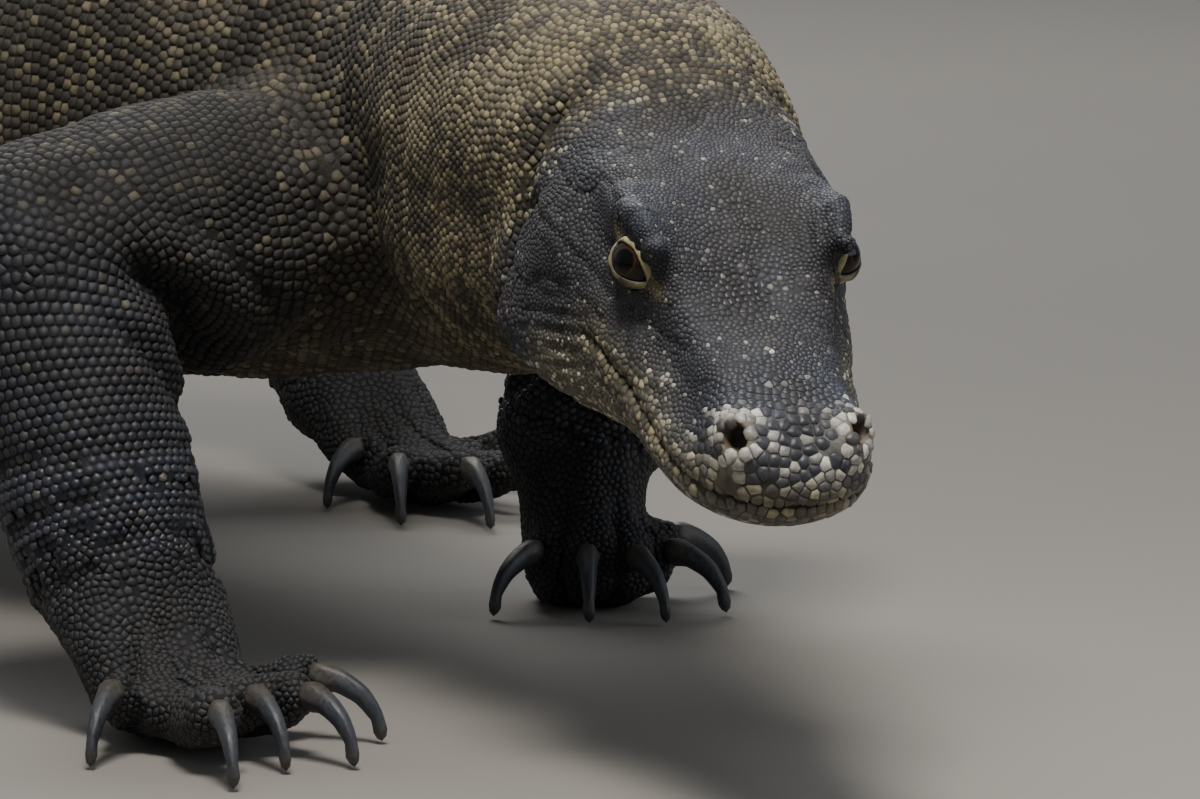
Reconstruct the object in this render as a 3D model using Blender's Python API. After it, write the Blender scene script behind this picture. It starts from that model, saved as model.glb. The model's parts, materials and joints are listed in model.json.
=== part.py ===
"""A komodo dragon, life-size, in mid-stride with its head held low: the model that a museum would show.

Metres, +Z up. The dragon walks towards -Y, so its right side is at -X. It is shaped as one body of overlapping
forms, fused, and then parted with thin cuts where a person would name its parts. Claws and eyes are pieces of
their own. Its front right and hind left feet are forward, as in a real lizard's walk.
"""

import math

import bmesh
import bpy
import numpy as np
from mathutils import Matrix, Vector

# Driving dimensions. Lengths along the body are counted from the shoulder girdle, towards the tail.
HIPS_AT = 0.56
SPINE_AT_SHOULDER = -0.010  # where the spine passes between the shoulders: this far to the animal's right
TAIL_END = 1.94
GROUND_OVERLAP = 0.002  # what rests on the floor is modelled this much too low, then cut flat

# The spine's sideways wave: its heading swings to and fro, and more so along the tail.
WAVE_LENGTH = 1.30
WAVE_START = 0.28
SWING = math.radians(12)
TAIL_SWING_GROWTH = 0.7

# How the flesh is fused, simplified and parted.
FUSE_VOXEL = 0.0032
FUSE_SMOOTHING = 6
FLESH_TRIANGLES = 4800
FINE_PART_PLAINNESS = 0.97  # the head and feet are simplified less than the rest, which counts as 1
CUT = 0.0004

# The head: where the middle of its lips is, and how it is held.
HEAD_TIP = Vector((-0.089, -0.352, 0.1060))
HEAD_TURN = math.radians(13.5)
HEAD_DIP = math.radians(27)

EYE_RADIUS = 0.0100
EYE_AT = Vector((0.0330, 0.0975, 0.0325))
EYE_SEGMENTS, EYE_RINGS = 12, 8
PIECE_GAP = 0.0005

# Toes and claws.
CLAW_RADIUS = 0.0048
CLAW_SIDES = 6
CLAW_RINGS = 4
TOE_END_BOX = 0.0125


# ------------------------------------------------------------------------------------------ curves and forms


def smooth_curve(knots, values):
    """A smooth curve through the knots that never overshoots them (a monotone cubic)."""
    x = np.asarray(knots, float)
    y = np.asarray(values, float)
    step = np.diff(x)
    slope = np.diff(y) / step
    tangent = np.zeros(len(x))
    tangent[0], tangent[-1] = slope[0], slope[-1]
    for i in range(1, len(x) - 1):
        if slope[i - 1] * slope[i] > 0:
            before, after = 2 * step[i] + step[i - 1], step[i] + 2 * step[i - 1]
            tangent[i] = (before + after) / (before / slope[i - 1] + after / slope[i])

    def at(p):
        p = np.clip(p, x[0], x[-1])
        i = np.clip(np.searchsorted(x, p) - 1, 0, len(step) - 1)
        t = (p - x[i]) / step[i]
        return (
            y[i] * (1 + 2 * t) * (1 - t) ** 2
            + step[i] * tangent[i] * t * (1 - t) ** 2
            + y[i + 1] * t * t * (3 - 2 * t)
            + step[i] * tangent[i + 1] * t * t * (t - 1)
        )

    return at


def through(points, count):
    """count points on a smooth curve through the given ones, evenly spread along it."""
    p = np.asarray(points, float)
    along = np.concatenate([[0], np.cumsum(np.linalg.norm(np.diff(p, axis=0), axis=1))])
    ends = np.vstack([2 * p[0] - p[1], p, 2 * p[-1] - p[-2]])
    t = np.linspace(0, along[-1], count)
    i = np.clip(np.searchsorted(along, t) - 1, 0, len(p) - 2)
    f = ((t - along[i]) / (along[i + 1] - along[i]))[:, None]
    a, b, c, d = ends[i], ends[i + 1], ends[i + 2], ends[i + 3]
    return 0.5 * (
        2 * b + (c - a) * f + (2 * a - 5 * b + 4 * c - d) * f**2 + (3 * b - a - 3 * c + d) * f**3
    )


def closed_rings(rings, tip=None):
    """A closed mesh over rings of points. Each end is closed by a fan, to the tip if there is one."""
    form = bmesh.new()
    loops = [[form.verts.new(p) for p in ring] for ring in rings]
    sides = len(loops[0])
    for near, far in zip(loops, loops[1:]):
        for i in range(sides):
            j = (i + 1) % sides
            form.faces.new((near[i], near[j], far[j], far[i]))
    for loop, end in ((loops[0], None), (loops[-1], tip)):
        middle = sum((v.co for v in loop), Vector()) / sides
        hub = form.verts.new(middle if end is None else end)
        for i in range(sides):
            form.faces.new((loop[i], loop[(i + 1) % sides], hub))
    bmesh.ops.recalc_face_normals(form, faces=form.faces)
    if form.calc_volume(signed=True) < 0:
        bmesh.ops.reverse_faces(form, faces=form.faces)
    mesh = bpy.data.meshes.new("form")
    form.to_mesh(mesh)
    form.free()
    return mesh


def tube(path, radii, across=(1.0, 1.0), level=(0, 0, 1), steps=16, sides=20):
    """A round-ended tube through the path's points, with a radius for each. across stretches its section along
    the level side, and square to that."""
    knots = np.concatenate([[0], np.cumsum(np.linalg.norm(np.diff(np.asarray(path), axis=0), axis=1))])
    points = through(path, steps)
    radius = smooth_curve(knots, radii)(np.linspace(0, knots[-1], steps))
    tangents = np.gradient(points, axis=0)
    tangents /= np.linalg.norm(tangents, axis=1)[:, None]
    dome = np.array([0.98, 0.85, 0.55])
    shrink = np.sqrt(1 - dome**2)
    start = [points[0] - tangents[0] * radius[0] * d for d in dome]
    end = [points[-1] + tangents[-1] * radius[-1] * d for d in dome[::-1]]
    points = np.vstack([start, points, end])
    tangents = np.vstack([[tangents[0]] * 3, tangents, [tangents[-1]] * 3])
    radius = np.concatenate([radius[0] * shrink, radius, radius[-1] * shrink[::-1]])
    turn = np.linspace(0, 2 * math.pi, sides, endpoint=False)
    rings = []
    for point, tangent, r in zip(points, tangents, radius):
        side = np.cross(tangent, level)
        side /= np.linalg.norm(side)
        other = np.cross(side, tangent)
        ring = np.outer(np.cos(turn) * r * across[0], side) + np.outer(np.sin(turn) * r * across[1], other)
        rings.append(point + ring)
    return closed_rings(rings)


def ellipsoid(centre, radii, segments=32, rings=16):
    form = bmesh.new()
    bmesh.ops.create_uvsphere(form, u_segments=segments, v_segments=rings, radius=1)
    form.transform(Matrix.Translation(centre) @ Matrix.Diagonal((*radii, 1)))
    mesh = bpy.data.meshes.new("form")
    form.to_mesh(mesh)
    form.free()
    return mesh


# -------------------------------------------------------------------------------------------- trunk and tail

# Along the body, half width, top and underside of the trunk and tail.
TRUNK = (
    ("throat base", -0.050, 0.066, 0.281, 0.125),
    ("shoulders", 0.020, 0.082, 0.294, 0.107),
    ("chest", 0.110, 0.099, 0.298, 0.097),
    ("belly", 0.270, 0.118, 0.292, 0.090),
    ("loin", 0.430, 0.105, 0.282, 0.100),
    ("hips", HIPS_AT, 0.080, 0.270, 0.115),
    ("tail root", 0.660, 0.062, 0.252, 0.116),
    ("tail, high", 0.840, 0.046, 0.212, 0.092),
    ("tail, falling", 1.040, 0.036, 0.160, 0.058),
    ("tail, low", 1.240, 0.028, 0.108, 0.023),
    ("tail, landed", 1.420, 0.022, 0.072, -GROUND_OVERLAP),
    ("tail, trailing", 1.640, 0.015, 0.046, -GROUND_OVERLAP),
    ("tail, whip", 1.840, 0.008, 0.023, -GROUND_OVERLAP),
    ("tail, tip", TAIL_END, 0.003, 0.008, -GROUND_OVERLAP / 2),
)


def spine_plan():
    """A function that gives the spine's place, seen from above, and its heading there."""
    step = 0.004
    s = np.arange(-0.10, TAIL_END + step, step)
    growth = 1 + TAIL_SWING_GROWTH * np.maximum(s - HIPS_AT, 0)
    heading = SWING * growth * np.sin(2 * math.pi * (s - WAVE_START) / WAVE_LENGTH)
    x = np.cumsum(np.sin(heading)) * step
    y = np.cumsum(np.cos(heading)) * step
    x += SPINE_AT_SHOULDER - np.interp(0, s, x)
    y -= np.interp(0, s, y)
    return lambda p: (np.interp(p, s, x), np.interp(p, s, y), np.interp(p, s, heading))


def trunk_and_tail(steps=150, sides=44):
    """A broad back over a flatter belly, running into a tail with a narrow ridge on top."""
    _, at, half_width, top, under = zip(*TRUNK)
    width_at, top_at, under_at = (smooth_curve(at, v) for v in (half_width, top, under))
    back_at = smooth_curve((0.0, HIPS_AT, 0.85, TAIL_END), (0.95, 1.0, 1.35, 1.3))
    belly_at = smooth_curve((0.0, 0.3, HIPS_AT, 0.85, TAIL_END), (0.85, 0.78, 0.85, 0.95, 0.9))
    plan = spine_plan()
    turn = np.linspace(0, 2 * math.pi, sides, endpoint=False)
    rise, wide = np.sin(turn), np.cos(turn)
    rings = []
    for s in np.linspace(at[0], at[-1], steps):
        x, y, heading = plan(s)
        middle = under_at(s) + 0.48 * (top_at(s) - under_at(s))
        out = np.sign(wide) * np.abs(wide) ** np.where(rise > 0, back_at(s), belly_at(s)) * width_at(s)
        tall = np.where(rise > 0, top_at(s) - middle, middle - under_at(s)) * rise
        rings.append(np.stack([x + out * math.cos(heading), y - out * math.sin(heading), middle + tall], 1))
    return closed_rings(rings)


# ------------------------------------------------------------------------------------------------------ head

# Seen in the head's own axes: X to its left, Y backwards from the lips, Z up from the closed mouth.
HEAD_Y = (0.000, 0.0025, 0.010, 0.020, 0.040, 0.060, 0.080, 0.095, 0.110, 0.130, 0.155, 0.185)
HEAD_OUTLINE = {
    "top": (0.006, 0.0125, 0.0195, 0.0240, 0.0270, 0.0305, 0.0370, 0.0435, 0.0480, 0.0500, 0.0505, 0.0510),
    "crown half width": (0.001, 0.010, 0.0155, 0.019, 0.020, 0.022, 0.028, 0.0345, 0.037, 0.0355, 0.034, 0.034),
    "crown fall": (0.001, 0.0015, 0.002, 0.0025, 0.0032, 0.0035, 0.0025, 0.0015, 0.0015, 0.0035, 0.0055, 0.0065),
    "side half width": (0.001, 0.013, 0.0205, 0.0255, 0.0285, 0.0305, 0.0335, 0.0365, 0.0395, 0.045, 0.049, 0.049),
    "lip half width": (0.001, 0.0145, 0.0245, 0.031, 0.0355, 0.038, 0.0405, 0.043, 0.0465, 0.0515, 0.0545, 0.054),
    "lip": (0.0, -0.0005, -0.0015, -0.003, -0.0045, -0.003, -0.001, 0.0, -0.001, -0.004, -0.006, -0.006),
    "jaw half width": (0.001, 0.0085, 0.0185, 0.026, 0.0305, 0.033, 0.0365, 0.041, 0.0465, 0.052, 0.0545, 0.054),
    "under": (-0.0045, -0.0120, -0.0185, -0.0220, -0.0265, -0.029, -0.034, -0.040, -0.046, -0.052, -0.056, -0.057),
}
CHIN_RECESS = 0.42  # how far the chin slants back from the lips, for each metre below them
CHIN_RECESS_FADE = 0.03


def head_frame():
    """From the head's own axes to the dragon's."""
    turn = Matrix.Rotation(-HEAD_TURN, 4, "Z")
    return Matrix.Translation(HEAD_TIP) @ turn @ Matrix.Rotation(HEAD_DIP, 4, "X")


def head_form(steps=90, fine=6):
    """The skull's outline. Its sizes are read against the root of the distance back, which rounds the snout."""
    root = np.sqrt(np.asarray(HEAD_Y))
    size = {name: smooth_curve(root, values) for name, values in HEAD_OUTLINE.items()}
    rings = []
    for q in np.linspace(0.004, root[-1], steps):
        top, lip, under = size["top"](q), size["lip"](q), size["under"](q)
        half = [
            (0, top),
            (size["crown half width"](q), top - size["crown fall"](q)),
            (size["side half width"](q), lip + 0.5 * (top - lip)),
            (size["lip half width"](q), lip),
            (size["jaw half width"](q), lip + 0.6 * (under - lip)),
            (0, under),
        ]
        outline = half + [(-x, z) for x, z in half[-2:0:-1]]
        wrapped = through([outline[-1]] + outline + outline[:2], (len(outline) + 2) * fine + 1)
        section = wrapped[fine : -fine - 1]
        back = q * q + CHIN_RECESS * math.exp(-q * q / CHIN_RECESS_FADE) * np.maximum(lip - section[:, 1], 0)
        rings.append(np.stack([section[:, 0], back, section[:, 1]], axis=1))
    return closed_rings(rings)


def head_forms():
    """The skull with its brow ridges, swollen nostrils and jaw muscles."""
    forms = [head_form()]
    for side in (-1, 1):
        forms += [
            ellipsoid((side * 0.0330, 0.103, 0.0425), (0.0090, 0.021, 0.0080)),
            ellipsoid((side * 0.0195, 0.021, 0.0150), (0.0090, 0.013, 0.0095)),
            ellipsoid((side * 0.0400, 0.150, 0.0060), (0.0135, 0.030, 0.0260)),
        ]
    for form in forms:
        form.transform(head_frame())
    return forms


# The neck and the slack throat under it: where they run, from the back of the head (in its own Y and Z) into the
# shoulders, and their radii.
NECK = {
    "in head": ((0.160, 0.004), (0.205, 0.004)),
    "in body": ((-0.035, -0.108, 0.208), (-0.015, -0.038, 0.210), (-0.008, 0.040, 0.203)),
    "radii": (0.0470, 0.0550, 0.0650, 0.0720, 0.0780),
}
THROAT = {
    "in head": ((0.150, -0.014), (0.195, -0.022)),
    "in body": ((-0.036, -0.098, 0.180), (-0.018, -0.035, 0.173), (-0.008, 0.040, 0.170)),
    "radii": (0.0430, 0.0510, 0.0600, 0.0620, 0.0640),
}


def neck_forms():
    frame = head_frame()
    forms = []
    for run in (NECK, THROAT):
        path = [frame @ Vector((0, y, z)) for y, z in run["in head"]] + [Vector(p) for p in run["in body"]]
        forms.append(tube(path, run["radii"], across=(1.02, 1.0), steps=24, sides=32))
    return forms


# ------------------------------------------------------------------------------------------------------ legs

# Each leg's joints, the pad under its toes, and where its claws touch the floor, from the inner toe outwards.
LEGS = {
    "front_right": {
        "joints": ((-0.075, 0.000, 0.170), (-0.190, 0.000, 0.158), (-0.178, -0.046, 0.048)),
        "pad": (-0.176, -0.072),
        "claws": ((-0.123, -0.131), (-0.156, -0.172), (-0.180, -0.168), (-0.211, -0.189), (-0.233, -0.127)),
    },
    "front_left": {
        "joints": ((0.062, 0.005, 0.175), (0.135, 0.085, 0.160), (0.106, 0.128, 0.064)),
        "pad": (0.096, 0.110),
        "claws": ((0.046, 0.092), (0.069, 0.060), (0.094, 0.046), (0.126, 0.056), (0.160, 0.112)),
    },
    "hind_left": {
        "joints": ((0.065, 0.565, 0.190), (0.185, 0.495, 0.170), (0.175, 0.450, 0.042)),
        "pad": (0.172, 0.402),
        "claws": ((0.126, 0.372), (0.129, 0.315), (0.155, 0.288), (0.194, 0.283), (0.226, 0.352)),
    },
    "hind_right": {
        "joints": ((-0.065, 0.560, 0.190), (-0.178, 0.622, 0.132), (-0.150, 0.742, 0.064)),
        "pad": (-0.160, 0.690),
        "claws": ((-0.120, 0.640), (-0.143, 0.600), (-0.176, 0.585), (-0.216, 0.592), (-0.232, 0.668)),
    },
}
ARM = {"upper": (0.048, 0.047, 0.041), "lower": (0.040, 0.037, 0.0325), "foot": 0.028, "toe": 0.0118}
THIGH = {"upper": (0.066, 0.060, 0.044), "lower": (0.044, 0.040, 0.0285), "foot": 0.026, "toe": 0.0116}
CLAW_REACH = 0.025
FOOT_REACH = 0.088
PAD_HEIGHT, TOE_HEIGHT, CLAW_HEIGHT, CLAW_TIP_HEIGHT = 0.0175, 0.0120, 0.0225, 0.0008


def toe_points(leg):
    """For each toe: its root in the foot, its middle on the floor, its end, and the claw's tip."""
    pad = Vector((*leg["pad"], 0))
    toes = []
    for spot in leg["claws"]:
        tip = Vector((*spot, 0))
        along = tip - pad
        length = along.length
        along.normalize()
        root = pad + along * 0.10 * length + Vector((0, 0, PAD_HEIGHT))
        middle = pad + along * 0.50 * (length - CLAW_REACH) + Vector((0, 0, TOE_HEIGHT))
        end = pad + along * (length - CLAW_REACH) + Vector((0, 0, CLAW_HEIGHT))
        toes.append((root, middle, end, tip + Vector((0, 0, CLAW_TIP_HEIGHT))))
    return toes


def leg_forms(name):
    leg = LEGS[name]
    build = ARM if name.startswith("front") else THIGH
    joint, bend, end = (Vector(p) for p in leg["joints"])
    pad = Vector((*leg["pad"], PAD_HEIGHT))
    forms = [
        tube((joint, joint.lerp(bend, 0.5), bend), build["upper"], across=(1.0, 1.05), sides=26),
        tube((bend, bend.lerp(end, 0.45), end), build["lower"], level=(1, 0, 0), sides=26),
        tube(
            (end, end.lerp(pad, 0.55) + Vector((0, 0, 0.004)), pad),
            (build["foot"] * 1.08, build["foot"] * 1.05, build["foot"]),
            across=(1.12, 0.74),
            level=(1, 0, 0) if end.z > 0.055 else (0, 0, 1),
            sides=22,
        ),
    ]
    for root, middle, toe_end, _ in toe_points(leg):
        radius = build["toe"]
        forms.append(tube((root, middle, toe_end), (radius * 1.25, radius * 1.10, radius * 0.84), steps=12, sides=14))
    return forms


def claw(root, tip):
    """A curved, tapering claw. It leaves the toe's flat end level, arches and comes down to its tip."""
    along = Vector((tip.x - root.x, tip.y - root.y, 0))
    reach = along.length
    along.normalize()
    drop = Vector((0, 0, root.z - tip.z))
    side = Vector((0, 0, 1)).cross(along)
    rings = []
    for i in range(CLAW_RINGS):
        t = i / CLAW_RINGS
        angle = t * math.pi / 2
        middle = root + along * reach * math.sin(angle) - drop * (1 - math.cos(angle))
        tangent = (along * reach * math.cos(angle) - drop * math.sin(angle)).normalized()
        up = side.cross(tangent) * -1
        radius = CLAW_RADIUS * (1 - 0.75 * t**1.5)
        turns = (2 * math.pi * k / CLAW_SIDES for k in range(CLAW_SIDES))
        rings.append([middle + side * math.cos(a) * radius * 0.82 + up * math.sin(a) * radius for a in turns])
    return closed_rings(rings, tip=tip)


def toe_end_cutter(end, tip):
    """A box that cuts the toe's end flat where its claw starts."""
    along = Vector((tip.x - end.x, tip.y - end.y, 0)).normalized()
    turn = along.to_track_quat("Y", "Z").to_matrix().to_4x4()
    size = TOE_END_BOX
    return block((-size, -PIECE_GAP, -size), (size, 1.2 * size, size), Matrix.Translation(end) @ turn)


# -------------------------------------------------------------------------------------------------- assembly


def clear_scene():
    for obj in list(bpy.data.objects):
        bpy.data.objects.remove(obj, do_unlink=True)


def add_object(name, mesh):
    obj = bpy.data.objects.new(name, mesh)
    bpy.context.scene.collection.objects.link(obj)
    return obj


def evaluated_mesh(obj):
    graph = bpy.context.evaluated_depsgraph_get()
    graph.update()
    return bpy.data.meshes.new_from_object(obj.evaluated_get(graph))


def joined(meshes):
    form = bmesh.new()
    for mesh in meshes:
        form.from_mesh(mesh)
        bpy.data.meshes.remove(mesh)
    mesh = bpy.data.meshes.new("joined")
    form.to_mesh(mesh)
    form.free()
    return mesh


def fused_flesh():
    forms = [trunk_and_tail()] + neck_forms() + head_forms()
    for name in LEGS:
        forms += leg_forms(name)
    flesh = add_object("flesh", joined(forms))
    fuse = flesh.modifiers.new("fuse", "REMESH")
    fuse.mode = "VOXEL"
    fuse.voxel_size = FUSE_VOXEL
    smooth = flesh.modifiers.new("smooth", "SMOOTH")
    smooth.factor = 0.5
    smooth.iterations = FUSE_SMOOTHING
    flesh.data = evaluated_mesh(flesh)
    flesh.modifiers.clear()
    triangles = sum(len(p.vertices) - 2 for p in flesh.data.polygons)
    plain = flesh.vertex_groups.new(name="plain")
    to_head = head_frame().inverted()
    pads = [Vector((*leg["pad"], 0)) for leg in LEGS.values()]
    for vertex in flesh.data.vertices:
        here = to_head @ vertex.co
        in_head = -0.03 < here.y < HEAD_PARTING and abs(here.x) < 0.07 and abs(here.z) < 0.07
        in_foot = min((vertex.co - pad).length for pad in pads) < FOOT_REACH
        plain.add([vertex.index], FINE_PART_PLAINNESS if in_head or in_foot else 1.0, "REPLACE")
    simplify = flesh.modifiers.new("simplify", "DECIMATE")
    simplify.vertex_group = plain.name
    simplify.ratio = FLESH_TRIANGLES / triangles
    simplify.use_collapse_triangulate = True
    flesh.data = evaluated_mesh(flesh)
    flesh.modifiers.clear()
    flesh.vertex_groups.clear()
    print(triangles, "triangles of flesh, simplified to", len(flesh.data.polygons))
    return flesh


def slab(middle, normal, reach, tall=None):
    """A thin sheet to cut with, square to the normal. It reaches as far to each side, and tall up and down."""
    turn = Vector(normal).normalized().to_track_quat("Z", "Y").to_matrix().to_4x4()
    form = bmesh.new()
    bmesh.ops.create_cube(form, size=1)
    form.transform(Matrix.Translation(middle) @ turn @ Matrix.Diagonal((2 * reach, 2 * (tall or reach), CUT, 1)))
    mesh = bpy.data.meshes.new("slab")
    form.to_mesh(mesh)
    form.free()
    return mesh


def block(low, high, frame=None):
    low, high = Vector(low), Vector(high)
    form = bmesh.new()
    bmesh.ops.create_cube(form, size=1)
    form.transform((frame or Matrix()) @ Matrix.Translation((low + high) / 2) @ Matrix.Diagonal((*(high - low), 1)))
    mesh = bpy.data.meshes.new("block")
    form.to_mesh(mesh)
    form.free()
    return mesh


def cut_away(body, meshes):
    """Cut each mesh out of the body, all at once."""
    for i, mesh in enumerate(meshes):
        cutter = add_object(f"cutter_{i}", mesh)
        cutter.hide_render = True
        cutter.display_type = "WIRE"
        cut = body.modifiers.new("cut", "BOOLEAN")
        cut.operation = "DIFFERENCE"
        cut.solver = "EXACT"
        cut.object = cutter
    body.data = evaluated_mesh(body)
    body.modifiers.clear()
    for obj in [o for o in bpy.data.objects if o.name.startswith("cutter_")]:
        bpy.data.objects.remove(obj, do_unlink=True)


# ------------------------------------------------------------------------------------------------ the parting

HEAD_PARTING = 0.166
JAW_HINGE = 0.118
JAW_BEND = 0.010
MOUTH_HALF_WIDTH = 0.075
# wider than CUT: the edges merged round the bend move the head and the jaw towards each other
MOUTH_GAP = 0.0009
NECK_PARTING = Vector((-0.024, -0.088, 0.195))
TRUNK_PARTINGS = {"chest": 0.205, "belly": 0.435, "pelvis": 0.680}
TAIL_PARTINGS = (0.90, 1.18, 1.50)
# Where each limb leaves the trunk, and which way it leaves.
LIMB_PARTINGS = {
    "front_right": ((-0.106, 0.000, 0.168), (-0.94, -0.33, 0.0)),
    "front_left": ((0.089, 0.030, 0.170), (1.0, 0.20, 0.0)),
    "hind_left": ((0.103, 0.542, 0.184), (1.0, -0.10, 0.0)),
    "hind_right": ((-0.106, 0.583, 0.168), (-0.93, 0.34, -0.1)),
}
LIMB_CUT_REACH = {"front": (0.068, 0.056), "hind": (0.084, 0.068)}
LIMB_NAMES = {"front": ("upper_arm", "forearm", "hand"), "hind": ("thigh", "shank", "foot")}


def limb_names(leg):
    end, side = leg.split("_")
    return [f"{side}_{part}" for part in LIMB_NAMES[end]]


def part_seeds():
    """A point inside each part of flesh, by the part's name."""
    plan = spine_plan()
    frame = head_frame()
    seeds = {
        "head": frame @ Vector((0, 0.100, 0.022)),
        "lower_jaw": frame @ Vector((0, 0.075, -0.013)),
        "neck": Vector((-0.028, -0.130, 0.208)),
    }
    edges = [-0.05, *TRUNK_PARTINGS.values(), *TAIL_PARTINGS, TAIL_END]
    heights = (0.20, 0.19, 0.19, 0.16, 0.11, 0.05, 0.02)
    names = [*TRUNK_PARTINGS, *(f"tail_{i + 1}" for i in range(len(TAIL_PARTINGS) + 1))]
    for name, near, far, height in zip(names, edges, edges[1:], heights):
        x, y, _ = plan((near + far) / 2)
        seeds[name] = Vector((x, y, height))
    for leg, sizes in LEGS.items():
        joint, bend, end = (Vector(p) for p in sizes["joints"])
        pad = Vector((*sizes["pad"], PAD_HEIGHT))
        upper, lower, foot = limb_names(leg)
        seeds[upper] = joint.lerp(bend, 0.70)
        seeds[lower] = bend.lerp(end, 0.50)
        seeds[foot] = pad
    return seeds


def mouth_parting():
    """A ribbon that follows the lips back to the hinge of the jaw, then turns down."""
    lip = smooth_curve(np.sqrt(np.asarray(HEAD_Y)), HEAD_OUTLINE["lip"])
    front = [(y, float(lip(math.sqrt(max(y, 0.0))))) for y in np.linspace(-0.012, JAW_HINGE - JAW_BEND, 16)]
    corner = front[-1]
    down = [
        (corner[0] + JAW_BEND * math.sin(a), corner[1] - JAW_BEND * (1 - math.cos(a)))
        for a in (math.radians(30), math.radians(60), math.radians(90))
    ]
    path = np.array(front + down + [(JAW_HINGE, -0.080)])
    tangents = np.gradient(path, axis=0)
    tangents /= np.linalg.norm(tangents, axis=1)[:, None]
    frame = head_frame()
    rings = []
    for (y, z), (ty, tz) in zip(path, tangents):
        over = Vector((0, -tz, ty)) * MOUTH_GAP / 2
        middle = Vector((0, y, z))
        wide = Vector((MOUTH_HALF_WIDTH, 0, 0))
        corners = (middle - wide - over, middle + wide - over, middle + wide + over, middle - wide + over)
        rings.append([frame @ corner for corner in corners])
    return closed_rings(rings)


def partings():
    """The thin cuts that part the flesh."""
    frame = head_frame()
    plan = spine_plan()
    straight = frame.to_3x3()
    cuts = [
        slab(frame @ Vector((0, HEAD_PARTING, 0.004)), straight @ Vector((0, 1, 0)), 0.075),
        slab(NECK_PARTING, (-0.05, -1.0, 0.0), 0.100),
        mouth_parting(),
    ]
    for s in (*TRUNK_PARTINGS.values(), *TAIL_PARTINGS):
        x, y, heading = plan(s)
        half_width = smooth_curve([row[1] for row in TRUNK], [row[2] for row in TRUNK])(s)
        middle = Vector((x, y, 0.14))
        cuts.append(slab(middle, (math.sin(heading), math.cos(heading), 0), half_width + 0.03, tall=0.18))
    for leg, sizes in LEGS.items():
        joint, bend, end = (Vector(p) for p in sizes["joints"])
        pad = Vector((*sizes["pad"], PAD_HEIGHT))
        root, outward = LIMB_PARTINGS[leg]
        bend_reach, ankle_reach = LIMB_CUT_REACH[leg.split("_")[0]]
        upper, lower, foot = ((b - a).normalized() for a, b in ((joint, bend), (bend, end), (end, pad)))
        cuts += [
            slab(Vector(root), outward, 0.074),
            slab(bend, upper + lower, bend_reach),
            slab(end, lower + foot, ankle_reach),
        ]
    return cuts


def islands(mesh):
    """The mesh's separate closed bodies, each as a mesh of its own."""
    form = bmesh.new()
    form.from_mesh(mesh)
    form.verts.index_update()
    form.faces.index_update()
    form.verts.ensure_lookup_table()
    left = set(form.verts)
    pieces = []
    for first in form.verts:
        if first not in left:
            continue
        left.discard(first)
        group = set()
        reached = [first]
        while reached:
            vertex = reached.pop()
            group.add(vertex)
            for edge in vertex.link_edges:
                other = edge.other_vert(vertex)
                if other in left:
                    left.discard(other)
                    reached.append(other)
        group = sorted(group, key=lambda v: v.index)
        number = {v: i for i, v in enumerate(group)}
        faces = sorted({f for v in group for f in v.link_faces}, key=lambda f: f.index)
        piece = bpy.data.meshes.new("piece")
        piece.from_pydata([v.co[:] for v in group], [], [[number[v] for v in f.verts] for f in faces])
        pieces.append(piece)
    form.free()
    return pieces


def tidy_piece(mesh):
    """Merge the short edges that a cut leaves, as long as the piece stays closed.

    Both ends of such an edge lie on one side of the cut, so their middle does too.
    """
    for shortest in SHORTEST_EDGES:
        form = bmesh.new()
        form.from_mesh(mesh)
        bmesh.ops.remove_doubles(form, verts=form.verts, dist=shortest)
        bmesh.ops.dissolve_degenerate(form, edges=form.edges, dist=1e-6)
        bmesh.ops.triangulate(form, faces=form.faces)
        closed = all(len(e.link_faces) == 2 for e in form.edges)
        if closed:
            bmesh.ops.recalc_face_normals(form, faces=form.faces)
            form.to_mesh(mesh)
        form.free()
        if closed:
            return
    raise RuntimeError("a parted piece is open")


def centre_and_volume(mesh):
    form = bmesh.new()
    form.from_mesh(mesh)
    volume = form.calc_volume(signed=False)
    area = sum(f.calc_area() for f in form.faces)
    centre = sum((f.calc_center_median() * f.calc_area() for f in form.faces), Vector()) / area
    form.free()
    return centre, volume


SHORTEST_EDGES = (0.0024, 0.0020, 0.0016, 0.0012, 0.0008, 0.0004, 0.00001)
SMALLEST_PART = 2e-6  # cubic metres; a cut leaves no piece of flesh smaller than this


def name_parts(flesh):
    """Give each parted body the name of the seed nearest to its centre."""
    seeds = part_seeds()
    parts = []
    for piece in islands(flesh.data):
        centre, volume = centre_and_volume(piece)
        if volume < SMALLEST_PART:
            print(f"crumb of {volume * 1e9:.1f} mm3 at {tuple(round(c, 3) for c in centre)}")
            continue
        name = min(seeds, key=lambda n: (seeds[n] - centre).length)
        tidy_piece(piece)
        print(f"{name:20s} {volume * 1e6:8.1f} cm3  {len(piece.polygons)} triangles")
        parts.append(add_object(name, piece))
        if parts[-1].name != name:
            raise RuntimeError(f"two bodies are nearest to {name}, the second at {centre}")
    missing = set(seeds) - {p.name for p in parts}
    if missing:
        raise RuntimeError(f"no body for {sorted(missing)}")
    bpy.data.objects.remove(flesh, do_unlink=True)
    return parts


# ------------------------------------------------------------------------------------------------- the finish

# Linear colour and roughness, by a word in the part's name.
FINISHES = {
    "claw": ((0.045, 0.047, 0.052), 0.35),
    "eye": ((0.030, 0.018, 0.012), 0.08),
    "lower_jaw": ((0.300, 0.240, 0.150), 0.60),
    "head": ((0.160, 0.140, 0.110), 0.55),
}
HIDE = ((0.085, 0.072, 0.058), 0.70)


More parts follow.
